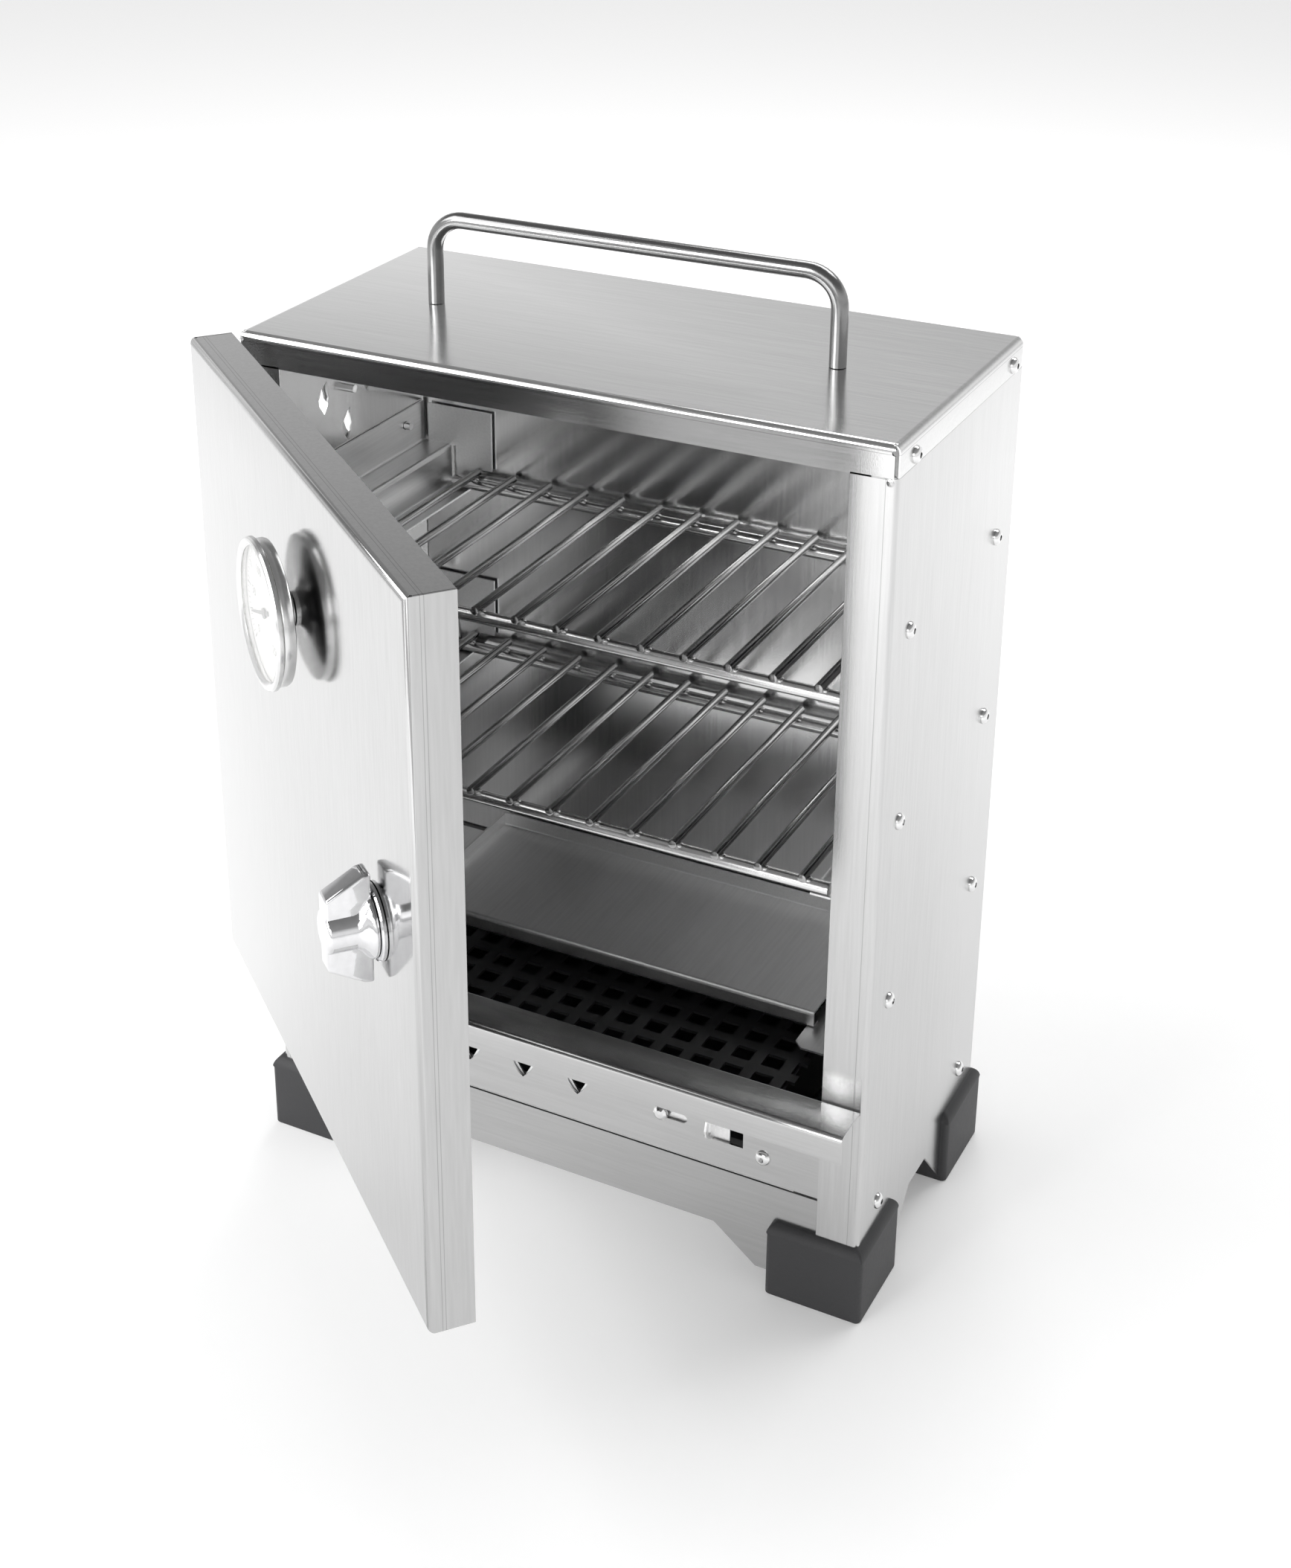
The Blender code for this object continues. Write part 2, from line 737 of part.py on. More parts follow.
def make_side_screws(parent):
    steel = chrome("screw_steel")
    for number, (y, z, on_lid) in enumerate(side_screw_places(), 1):
        face = WIDTH + GAP if on_lid else WIDTH - SIDE_SKIN + GAP
        matrix = Matrix.Translation((face, y, z)) @ X_AXIS
        finish(screw_object(f"right_screw_{number:02d}", matrix), steel, parent, True)


def make_plate_screws(parent):
    steel = chrome("plate_screw_steel")
    turn = Matrix.Rotation(math.pi / 2, 4, "X")
    for side, x in (("left", PLATE_SCREW_INSET), ("right", WIDTH - PLATE_SCREW_INSET)):
        matrix = Matrix.Translation((x, -GAP, PLATE_SCREW_LEVEL)) @ turn
        finish(screw_object(f"plate_screw_{side}", matrix, 3 * MM), steel, parent, True)


def make_slider(parent):
    """Perforated strip that slides behind the front plate, the fin to pull it by and its guide screws."""
    low = FLAME_LEVEL - SLIDER_HEIGHT / 2
    high = FLAME_LEVEL + SLIDER_HEIGHT / 2
    y = SHEET + GAP + SHEET / 2
    outlines = [rectangle((SLIDER_START, low), (SLIDER_END, high))] + flame_row()
    for place in SLIDER_SCREWS:
        outlines.append(circle((place, SLIDER_SCREW_LEVEL), SCREW_SHANK + HOLE_CLEARANCE, 12))
    slider = outline_object("air_slider", outlines, SHEET, XZ_PLANE, -y)
    fin_low = low + 4 * MM
    fin_high = high - 6 * MM
    middle = (fin_low + fin_high) / 2
    fin = [
        (y, fin_low),
        (-TAB_REACH * 0.2, fin_low),
        (-TAB_REACH * 0.85, fin_low + 4 * MM),
        (-TAB_REACH, middle),
        (-TAB_REACH * 0.8, fin_high - 2 * MM),
        (-TAB_REACH * 0.3, fin_high),
        (y, fin_high),
    ]
    hole = slot_outline(-middle - 3 * MM, -middle + 3 * MM, -TAB_REACH * 0.45, 1.6 * MM)
    hole = [(v, -u) for u, v in hole]
    fin_plate = outline_object("slider_fin", [fin, hole], SHEET, YZ_PLANE, TAB_PLACE)
    combined(slider, fin_plate, "UNION", "MANIFOLD")
    finish(slider, sheet_steel("slider_steel"), parent)
    steel = chrome("slider_screw_steel")
    turn = Matrix.Rotation(math.pi / 2, 4, "X")
    for number, place in enumerate(SLIDER_SCREWS, 1):
        matrix = Matrix.Translation((place, -GAP, SLIDER_SCREW_LEVEL)) @ turn
        finish(screw_object(f"slider_screw_{number}", matrix, 4 * MM), steel, parent, True)


def make_boot(name, mirror_x, mirror_y, parent):
    """Rubber shoe on a corner of the cabinet: an L in plan, with a slot that grips the sheet."""
    out = -BOOT_PROUD
    end = out + BOOT_SIDE
    inner = out + BOOT_ARM
    outline = [(out, out), (end, out), (end, inner), (inner, inner), (inner, end), (out, end)]
    outline = round_corners(outline, [BOOT_CORNER, 1.5 * MM, 1.5 * MM, 0, 1.5 * MM, 1.5 * MM], 3)
    boot = outline_object(name, [outline], BOOT_TOP, None, BOOT_TOP / 2)
    bevel = boot.modifiers.new("round", "BEVEL")
    bevel.width = 2.0 * MM
    bevel.segments = 2
    bevel.limit_method = "ANGLE"
    bevel.angle_limit = math.radians(60)
    baked(boot)
    start = FRONT_SKIN - GAP
    wall = FRONT_SKIN + SHEET + GAP
    if mirror_y:
        wall += SHEET + GAP
    side = SIDE_SKIN + SHEET + GAP
    far = BOOT_SIDE + BEND
    slot = [
        (start, start),
        (far, start),
        (far, wall),
        (side + 1.3 * MM, wall),
        (side, wall + 1.3 * MM),
        (side, far),
        (start, far),
    ]
    low = LEG_END - GAP
    cut(boot, outline_object(name + "_slot", [slot], BOOT_TOP, None, low + BOOT_TOP / 2))
    flip = Matrix.Diagonal((-1 if mirror_x else 1, -1 if mirror_y else 1, 1, 1))
    shift = Matrix.Translation((WIDTH if mirror_x else 0, DEPTH if mirror_y else 0, 0))
    boot.data.transform(shift @ flip)
    if mirror_x != mirror_y:
        boot.data.flip_normals()
    finish(boot, black_rubber(name + "_rubber"), parent)


# ---------------------------------------------------------------- inside the cabinet


def rail_profile(level):
    """Section of a left rail: wall flange, shelf, drop and the ledge that carries the rack's wires."""
    ledge = level - ROD_RADIUS - 2 * WIRE_RADIUS + 0.4 * MM - GAP - SHEET / 2
    shelf = ledge + RAIL_SHELF_RISE
    wall = SIDE_SKIN + SHEET + GAP + SHEET / 2
    drop = RAIL_DROP_INSET + SHEET / 2
    return [(wall, shelf + RAIL_WALL), (wall, shelf), (drop, shelf), (drop, ledge), (RAIL_LEDGE, ledge)]


def rail_stop(side, name, level):
    """Plate across the rear end of a rail, with a broad finger that ends just above the rear wire."""
    top = rail_profile(level)[0][1] - 1 * MM
    shelf = rail_profile(level)[1][1]
    left = RAIL_DROP_INSET + 4 * MM
    outline = [
        (RAIL_STOP_START, top),
        (RAIL_STOP_START, shelf),
        (left, shelf),
        (left, level - 3 * MM),
        (left + 2 * MM, level - 5 * MM),
        (left + 6.5 * MM, level - 5 * MM),
        (left + 8.5 * MM, level - 3.4 * MM),
        (left + 9 * MM, level - 0.5 * MM),
        (left + 11 * MM, level + 1.2 * MM),
        (RAIL_STOP_END, level + 1.2 * MM),
        (RAIL_STOP_END, top),
    ]
    middle = RAIL_BACK - RAIL_STOP_OVERLAP + SHEET / 2
    stop = outline_object(f"{name}_{side}_stop", [outline], SHEET, XZ_PLANE, -middle)
    if side == "right":
        stop.data.transform(Matrix.Translation((WIDTH, 0, 0)) @ Matrix.Diagonal((-1, 1, 1, 1)))
        stop.data.flip_normals()
    return stop


def make_rail(side, name, level, parent):
    length = RAIL_BACK - RAIL_FRONT
    middle = (RAIL_FRONT + RAIL_BACK) / 2
    rail = outline_object(
        f"{name}_rail_{side}", [folded_strip(rail_profile(level))], length, XZ_PLANE, -middle
    )
    if side == "right":
        rail.data.transform(Matrix.Translation((WIDTH, 0, 0)) @ Matrix.Diagonal((-1, 1, 1, 1)))
        rail.data.flip_normals()
    cut(rail, side_screw_holes(f"{name}_{side}_rail_holes"))
    add(rail, rail_stop(side, name, level))
    finish(rail, sheet_steel(f"{name}_rail_{side}_steel"), parent)


def make_rack(name, level, shift, parent):
    """Row of round rods lying on two cross wires."""
    middle = WIDTH / 2 + shift
    rods = []
    for i in range(RACK_RODS):
        x = middle + (i - (RACK_RODS - 1) / 2) * RACK_PITCH
        rod = cylinder_object(f"{name}_rod_{i}", ROD_RADIUS, -RACK_BACK, -RACK_FRONT, 10)
        rod.data.transform(Matrix.Translation((x, 0, level)) @ Y_AXIS)
        rods.append(rod)
    wires = []
    drop = level - ROD_RADIUS - WIRE_RADIUS + 0.4 * MM
    for i, y in enumerate((RACK_FRONT + WIRE_INSET, RACK_BACK - WIRE_INSET)):
        wire = cylinder_object(f"{name}_wire_{i}", WIRE_RADIUS, middle - RACK_HALF, middle + RACK_HALF, 12)
        wire.data.transform(Matrix.Translation((0, y, drop)) @ X_AXIS)
        wires.append(wire)
    rack = joined(name + "_rack", wires)
    add(rack, joined(name + "_rods", rods))
    finish(rack, dark_rod(name + "_rack_steel"), parent, True)


def make_tray_bracket(side, parent):
    """Bracket that hangs from the side screws and carries one edge of the drip tray."""
    wall = SIDE_SKIN + SHEET + GAP + SHEET / 2
    profile = folded_strip([(wall, BRACKET_TOP), (wall, BRACKET_LEVEL), (BRACKET_SHELF, BRACKET_LEVEL)])
    length = RAIL_BACK - BRACKET_FRONT
    middle = (RAIL_BACK + BRACKET_FRONT) / 2
    bracket = outline_object(side + "_tray_bracket", [profile], length, XZ_PLANE, -middle)
    corner = 8 * MM
    chamfer = [
        (BRACKET_SHELF - 4 * MM, BRACKET_FRONT - corner),
        (BRACKET_SHELF + corner, BRACKET_FRONT - corner),
        (BRACKET_SHELF + corner, BRACKET_FRONT + 4 * MM),
        (BRACKET_SHELF, BRACKET_FRONT + 4 * MM),
        (BRACKET_SHELF - 4 * MM, BRACKET_FRONT),
    ]
    cut(bracket, outline_object(side + "_chamfer", [chamfer], 20 * MM, None, BRACKET_LEVEL))
    if side == "right":
        bracket.data.transform(Matrix.Translation((WIDTH, 0, 0)) @ Matrix.Diagonal((-1, 1, 1, 1)))
        bracket.data.flip_normals()
    cut(bracket, side_screw_holes(side + "_bracket_holes"))
    finish(bracket, sheet_steel(side + "_bracket_steel"), parent)


def make_drip_tray(parent):
    level = TRAY_LEVEL
    front = TRAY_FRONT + SHEET / 2
    back = TRAY_BACK - SHEET / 2
    low = BRACKET_LEVEL + SHEET / 2 + GAP + SHEET / 2
    profile = folded_strip(
        [(front + 5 * MM, low), (front, low), (front, level), (back, level), (back, level + TRAY_FLANGE)],
        bend=1.2 * MM,
    )
    tray = outline_object(
        "drip_tray", [profile], TRAY_RIGHT - TRAY_LEFT, YZ_PLANE, (TRAY_LEFT + TRAY_RIGHT) / 2
    )
    rim = box_object(
        "tray_rim",
        (TRAY_LEFT, front + 1.5 * MM, level - SHEET / 4),
        (TRAY_LEFT + SHEET, back, level + TRAY_FLANGE - 0.5 * MM),
    )
    add(tray, rim)
    finish(tray, sheet_steel("tray_steel"), parent)


def make_grate(parent):
    """Perforated plate that the embers lie on; the last column of holes runs out of its right edge."""
    outlines = []
    rows = []
    y = GRATE_ROW - GRATE_PITCH
    while y < GRATE_BACK - 2 * MM:
        rows.append(y)
        y += GRATE_PITCH
    columns = []
    x = GRATE_COLUMN - GRATE_PITCH
    while x > GRATE_LEFT + 2 * MM:
        columns.append(x)
        x -= GRATE_PITCH
    edge = [(GRATE_LEFT, GRATE_FRONT), (GRATE_RIGHT, GRATE_FRONT)]
    for back in rows:
        edge.append((GRATE_RIGHT, back - GRATE_HOLE))
        edge.append((GRATE_COLUMN, back - GRATE_HOLE))
        edge.append((GRATE_COLUMN, back))
        edge.append((GRATE_RIGHT, back))
    edge.extend([(GRATE_RIGHT, GRATE_BACK), (GRATE_LEFT, GRATE_BACK)])
    outlines.append(edge)
    for back in rows:
        for left in columns:
            outlines.append(rectangle((left, back - GRATE_HOLE), (left + GRATE_HOLE, back)))
    grate = outline_object("fire_grate", outlines, GRATE_THICK, None, GRATE_LEVEL)
    finish(grate, black_steel("grate_steel"), parent)


def make_fire_pan(parent):
    """Open pan on the floor that holds the ash and carries the grate; its front is low for the air."""
    top = GRATE_LEVEL - GRATE_THICK / 2 - GAP
    pan = pan_object(
        "fire_pan",
        (GRATE_LEFT + 3 * MM, GRATE_FRONT + 3 * MM, FLOOR_TOP + GAP),
        (GRATE_RIGHT - 3 * MM, GRATE_BACK - 3 * MM, top),
        "top",
        BEND,
    )
    inset = 14 * MM
    mouth = box_object(
        "fire_pan_mouth",
        (GRATE_LEFT + inset, GRATE_FRONT - inset, FLOOR_TOP + 10 * MM),
        (GRATE_RIGHT - inset, GRATE_FRONT + inset, top + inset),
    )
    cut(pan, mouth)
    finish(pan, black_steel("fire_pan_steel"), parent)


# ---------------------------------------------------------------- smoke damper


def vent_outlines(turn):
    """Four air holes round the damper's axis, as (y, z) about that axis, all turned by one angle."""
    outlines = []
    for i in range(4):
        side = i * math.pi / 2
        centre = (DAMPER_RING * math.cos(side), DAMPER_RING * math.sin(side))
        outlines.append([turned(point, turn) for point in flame(centre, VENT_WIDTH, VENT_HEIGHT)])
    return outlines


def turned(point, angle):
    x, y = point
    return (x * math.cos(angle) - y * math.sin(angle), x * math.sin(angle) + y * math.cos(angle))


def vent_cutter(name, turn):
    cutters = []
    for i, points in enumerate(vent_outlines(turn)):
        placed = [(DAMPER_Y + u, DAMPER_Z + v) for u, v in points]
        cutters.append(outline_object(f"{name}_{i}", [placed], 12 * MM, YZ_PLANE))
    return joined(name, cutters)


def damper_bore(name):
    bore = circle((DAMPER_Y, DAMPER_Z), SCREW_SHANK + HOLE_CLEARANCE, 12)
    return outline_object(name, [bore], 12 * MM, YZ_PLANE)


def make_damper(cabinet, parent):
    """Turning disc outside the left wall, whose holes uncover those of the wall."""
    x = SIDE_SKIN - GAP - SHEET / 2
    outlines = [circle((0, 0), DAMPER_RADIUS, 40)] + vent_outlines(DAMPER_TURN)
    outlines.append(circle((0, 0), SCREW_SHANK + HOLE_CLEARANCE, 12))
    damper = outline_object("smoke_damper", outlines, SHEET, YZ_PLANE, x)
    tab = box_object(
        "damper_tab",
        (x - DAMPER_TAB, -5 * MM, -DAMPER_RADIUS + 1 * MM),
        (x, 5 * MM, -DAMPER_RADIUS + 2 * MM),
    )
    add(damper, tab)
    finish(damper, sheet_steel("damper_steel"), parent)
    matrix = Matrix.Translation((x - SHEET / 2 - GAP, DAMPER_Y, DAMPER_Z)) @ X_AXIS.inverted()
    pivot = screw_object("damper_pivot", matrix, 8 * MM)
    finish(pivot, chrome("damper_pivot_steel"), cabinet, True)


# ---------------------------------------------------------------- door


def door_bore(name, x, z, radius):
    bore = cylinder_object(name, radius, -3 * MM, 3 * MM, 20)
    bore.data.transform(Matrix.Translation((x, DOOR_FACE, z)) @ Y_AXIS)
    return bore


def make_door(parent):
    door = pan_object(
        "door",
        (DOOR_LEFT, DOOR_FACE, DOOR_BOTTOM),
        (DOOR_LEFT + DOOR_WIDTH, DOOR_RIM, HEIGHT),
        "back",
        DOOR_BEND,
    )
    gauge = DOOR_LEFT + GAUGE_FROM_HINGE
    latch = DOOR_LEFT + LATCH_FROM_HINGE
    cut(
        door,
        door_bore("probe_hole", gauge, GAUGE_LEVEL, PROBE_RADIUS + 2 * HOLE_CLEARANCE),
        door_bore("shaft_hole", latch, LATCH_LEVEL, LATCH_SHAFT + HOLE_CLEARANCE),
    )
    finish(door, sheet_steel("door_steel"), parent)


def make_hinge(name, level, cabinet, door):
    """Lift-off hinge: a leaf on the cabinet, a leaf on the flange of the door, and the pin between them."""
    middle = level + HINGE_LENGTH / 2
    bore_low = level - 5 * MM
    bore_high = level + HINGE_LENGTH + 5 * MM
    fixed = cylinder_object(f"hinge_{name}_cabinet_leaf", HINGE_BARREL, level, middle - GAP / 2, 24)
    wall = SIDE_SKIN - GAP - HINGE_X
    web = box_object(
        "web", (HINGE_BARREL * 0.3, 0.8 * MM, level), (wall - 0.2 * MM, 5 * MM, middle - GAP / 2)
    )
    leaf = box_object(
        "leaf",
        (wall - SHEET, 3 * MM, level),
        (wall, 3 * MM + HINGE_LEAF, middle - GAP / 2),
    )
    add(fixed, web, leaf)
    cut(fixed, cylinder_object("bore", HINGE_BORE, bore_low, bore_high, 20))
    fixed.data.transform(Matrix.Translation((HINGE_X, HINGE_Y, 0)))
    finish(fixed, sheet_steel(f"hinge_{name}_steel"), cabinet)

    top = level + HINGE_LENGTH
    moving = cylinder_object(f"hinge_{name}_door_leaf", HINGE_BARREL, middle + GAP / 2, top, 24)
    face = DOOR_LEFT - GAP
    leaf = box_object(
        "leaf",
        (face - SHEET, DOOR_FACE + 4 * MM, middle + GAP / 2),
        (face, 0.1 * MM, top),
    )
    add(moving, leaf)
    cut(moving, cylinder_object("bore", HINGE_BORE, bore_low, bore_high, 20))
    finish(moving, sheet_steel(f"hinge_{name}_door_steel"), door)

    pin = cylinder_object(f"hinge_{name}_pin", HINGE_PIN, level + GAP, top + 1 * MM, 16)
    pin.data.transform(Matrix.Translation((HINGE_X, HINGE_Y, 0)))
    finish(pin, chrome(f"hinge_{name}_pin_steel"), cabinet, True)


def facing_out(x, z):
    """Turns a body turned about z so that its z points out of the door, from the face at (x, z)."""
    return Matrix.Translation((x, DOOR_FACE, z)) @ Y_AXIS


def make_thermometer(door, dial):
    x = DOOR_LEFT + GAUGE_FROM_HINGE
    out = facing_out(x, GAUGE_LEVEL)
    bore = PROBE_RADIUS + HOLE_CLEARANCE
    inner = GAUGE_RADIUS - 2.2 * MM
    back = GAUGE_STAND_OFF
    rim = GAUGE_FRONT - 3.0 * MM
    case = [
        (inner, rim),
        (inner, back + 1.6 * MM),
        (bore, back + 0.2 * MM),
        (bore, GAP),
        (7 * MM, GAP),
        (7 * MM, 2.2 * MM),
        (GAUGE_RADIUS - 3 * MM, back),
        (GAUGE_RADIUS - 1.2 * MM, back + 1.2 * MM),
        (GAUGE_RADIUS - 1.2 * MM, rim),
    ]
    body = turned_object("thermometer_case", case[::-1], 48)
    body.data.transform(out)
    finish(body, sheet_steel("thermometer_case_steel"), door, True)

    low = rim + GAP
    glass_seat = GAUGE_FRONT - 1.3 * MM
    bezel = [
        (inner - 1.5 * MM, glass_seat + GAP / 2),
        (inner - 1.0 * MM, GAUGE_FRONT),
        (GAUGE_RADIUS - 0.8 * MM, GAUGE_FRONT),
        (GAUGE_RADIUS, GAUGE_FRONT - 0.8 * MM),
        (GAUGE_RADIUS, low),
        (inner + 0.2 * MM, low),
        (inner + 0.2 * MM, glass_seat + GAP / 2),
    ]
    ring = turned_object("thermometer_bezel", bezel, 48)
    ring.data.transform(out)
    finish(ring, chrome("bezel_steel"), door, True)

    dial_top = rim - 1.6 * MM
    card = cylinder_object("thermometer_dial", inner - GAP, dial_top - 0.6 * MM, dial_top, 40)
    cut(card, cylinder_object("dial_bore", 1.6 * MM, 0, rim, 12))
    card.data.transform(out)
    finish(card, white_card("dial_card"), door)

    pane = cylinder_object("thermometer_glass", inner - GAP, glass_seat - 1.0 * MM, glass_seat, 40)
    pane.data.transform(out)
    finish(pane, clear_glass("gauge_glass"), door)

    needle_low = dial_top + GAP
    needle_high = needle_low + 0.5 * MM
    blade = [(-1.0 * MM, -6 * MM), (1.0 * MM, -6 * MM), (0.3 * MM, 21 * MM), (-0.3 * MM, 21 * MM)]
    blade = [turned(point, NEEDLE_TURN) for point in blade]
    middle = (needle_low + needle_high) / 2
    needle = outline_object(
        "thermometer_pointer", [blade], needle_high - needle_low, None, middle
    )
    hub = cylinder_object("hub", 2.2 * MM, needle_low, needle_high + 0.3 * MM, 16)
    arbor = cylinder_object("arbor", 1.2 * MM, back + 3.0 * MM, needle_high, 12)
    add(needle, hub, arbor)
    needle.data.transform(Matrix.Translation((0, DOOR_FACE, 0)) @ Y_AXIS)
    finish(needle, black_steel("pointer_steel"), dial)

    probe = cylinder_object("thermometer_probe", PROBE_RADIUS, -PROBE_LENGTH, back + 1.6 * MM, 20)
    probe.data.transform(out)
    finish(probe, chrome("probe_steel"), door, True)

    nut_low = -SHEET - GAP - 5 * MM
    nut = cylinder_object("thermometer_nut", 7.6 * MM, nut_low, -SHEET - GAP, 6)
    cut(nut, cylinder_object("nut_bore", bore, nut_low - 1 * MM, 0, 20))
    nut.data.transform(out)
    finish(nut, sheet_steel("thermometer_nut_steel"), door)


def make_latch(door, latch):
    """Chrome turn knob with a winged bar, on a shaft that carries the cam behind the door."""
    x = DOOR_LEFT + LATCH_FROM_HINGE
    collar_low = GAP
    collar_high = GAP + COLLAR_HEIGHT
    bore = LATCH_SHAFT + HOLE_CLEARANCE
    profile = [
        (COLLAR_RADIUS - 1.2 * MM, collar_high),
        (COLLAR_RADIUS, collar_high - 1.0 * MM),
        (COLLAR_RADIUS, collar_low),
        (bore, collar_low),
        (bore, collar_high),
    ]
    collar = turned_object("latch_collar", profile, 32)
    collar.data.transform(facing_out(x, LATCH_LEVEL))
    finish(collar, chrome("collar_chrome"), door, True)

    out = Matrix.Translation((0, DOOR_FACE, 0)) @ Y_AXIS
    base = collar_high + GAP
    neck = base + 5.5 * MM
    knob_profile = [
        (0, KNOB_RISE),
        (KNOB_RADIUS - 0.6 * MM, KNOB_RISE),
        (KNOB_RADIUS, KNOB_RISE - 0.6 * MM),
        (KNOB_RADIUS, neck),
        (KNOB_FLARE, base + 1.0 * MM),
        (KNOB_FLARE, base),
        (0, base),
    ]
    knob = turned_object("latch_knob", knob_profile, 32)
    wings = [
        (-BAR_INNER_HALF, base),
        (BAR_INNER_HALF, base),
        (BAR_OUTER_HALF, KNOB_RISE - 0.4 * MM),
        (-BAR_OUTER_HALF, KNOB_RISE - 0.4 * MM),
    ]
    bar = outline_object("bar", [round_corners(wings, 1.0 * MM, 2)], BAR_THICK, YZ_PLANE)
    add(knob, bar)
    cut(knob, cylinder_object("knob_bore", bore, 0, base + 10 * MM, 20))
    knob.data.transform(out)
    finish(knob, chrome("knob_chrome"), latch, True)

    cam_near = -DOOR_FACE + FRONT_SKIN + SHEET - HINGE_Y + 1.0 * MM
    cam_far = cam_near + CAM_THICK
    nut_near = cam_far + GAP
    nut_far = nut_near + 4 * MM
    shaft = cylinder_object("latch_shaft", LATCH_SHAFT, -nut_far - 1 * MM, base + 10 * MM - GAP, 20)
    shaft.data.transform(out)
    finish(shaft, chrome("shaft_steel"), latch, True)

    cam_outline = arc((0, 0), CAM_HALF + 2 * MM, 0, math.pi, 8)
    cam_outline += [(-CAM_HALF, -CAM_LENGTH + 2 * MM), (-CAM_HALF + 2 * MM, -CAM_LENGTH)]
    cam_outline += [(CAM_HALF - 2 * MM, -CAM_LENGTH), (CAM_HALF, -CAM_LENGTH + 2 * MM)]
    cam = outline_object(
        "latch_cam", [cam_outline, circle((0, 0), bore)], CAM_THICK, None, -(cam_near + cam_far) / 2
    )
    cam.data.transform(out)
    finish(cam, sheet_steel("cam_steel"), latch)

    nut = cylinder_object("latch_nut", 7.5 * MM, -nut_far, -nut_near, 6)
    cut(nut, cylinder_object("latch_nut_bore", bore, -nut_far - 1 * MM, 0, 20))
    nut.data.transform(out)
    finish(nut, sheet_steel("latch_nut_steel"), latch)


# ---------------------------------------------------------------- assembly


def floor_middle():
    """Middle of the box round the whole object with the door open."""
    corner_x = HINGE_X + DOOR_LEFT * math.cos(DOOR_OPEN) + DOOR_FACE * math.sin(DOOR_OPEN)
    far = DOOR_LEFT + DOOR_WIDTH
    corner_y = HINGE_Y - far * math.sin(DOOR_OPEN) + DOOR_FACE * math.cos(DOOR_OPEN)
    right = WIDTH + BOOT_PROUD
    back = DEPTH + BOOT_PROUD
    return ((corner_x + right) / 2, (corner_y + back) / 2)


def build():
    middle = floor_middle()
    cabinet = empty("cabinet_frame", (-middle[0], -middle[1], 0))
    door = empty("door_hinge_axis", (HINGE_X, HINGE_Y, 0), cabinet, -DOOR_OPEN)
    latch = empty("latch_axis", (DOOR_LEFT + LATCH_FROM_HINGE, 0, LATCH_LEVEL), door)
    dial = empty("dial_axis", (DOOR_LEFT + GAUGE_FROM_HINGE, 0, GAUGE_LEVEL), door)
    damper = empty("damper_axis", (0, DAMPER_Y, DAMPER_Z), cabinet)
    slider = empty("slider_frame", (0, 0, 0), cabinet)

    make_lid(cabinet)
    make_handle(cabinet)
    make_side_panel("left", cabinet)
    make_side_panel("right", cabinet)
    make_back_panel(cabinet)
    make_front_plate(cabinet)
    make_skirt(cabinet)
    make_base_floor(cabinet)
    make_side_screws(cabinet)
    make_plate_screws(cabinet)
    make_slider(slider)
    for depth_name, mirror_y in (("front", False), ("rear", True)):
        for side_name, mirror_x in (("left", False), ("right", True)):
            make_boot(f"boot_{depth_name}_{side_name}", mirror_x, mirror_y, cabinet)
    for name, level, shift in RACKS:
        make_rack(name, level, shift, cabinet)
        make_rail("left", name, level, cabinet)
        make_rail("right", name, level, cabinet)
    make_tray_bracket("left", cabinet)
    make_tray_bracket("right", cabinet)
    make_drip_tray(cabinet)
    make_grate(cabinet)
    make_fire_pan(cabinet)
    make_damper(cabinet, damper)
    make_door(door)
    for name, level in HINGE_LEVELS:
        make_hinge(name, level, cabinet, door)
    make_thermometer(door, dial)
    make_latch(door, latch)


clear_scene()
PARTS = make_collection("table_smoker")
CUTTERS = make_collection("cutters")
build()
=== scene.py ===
"""Looks of a compact table-top cabinet smoker in folded stainless sheet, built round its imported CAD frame."""

import math
import random

import bpy
from mathutils import Matrix, Vector


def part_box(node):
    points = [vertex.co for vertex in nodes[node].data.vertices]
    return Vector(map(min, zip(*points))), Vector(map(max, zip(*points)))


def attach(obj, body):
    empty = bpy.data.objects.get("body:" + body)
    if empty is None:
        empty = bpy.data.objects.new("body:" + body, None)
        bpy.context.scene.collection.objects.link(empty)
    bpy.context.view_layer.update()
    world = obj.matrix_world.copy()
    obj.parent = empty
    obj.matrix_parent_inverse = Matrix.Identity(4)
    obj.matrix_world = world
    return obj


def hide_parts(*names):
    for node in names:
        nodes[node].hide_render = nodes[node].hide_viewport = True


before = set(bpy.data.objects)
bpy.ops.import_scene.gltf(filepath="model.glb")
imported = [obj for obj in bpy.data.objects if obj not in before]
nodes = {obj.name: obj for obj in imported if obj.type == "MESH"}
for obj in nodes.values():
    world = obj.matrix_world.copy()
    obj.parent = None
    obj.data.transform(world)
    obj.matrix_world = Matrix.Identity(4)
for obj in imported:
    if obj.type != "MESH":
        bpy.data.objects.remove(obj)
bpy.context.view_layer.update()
mm = 0.001


# ---------------------------------------------------------------- camera
# The smoker is seen from the front right and from above, the way it stands on a garden table.

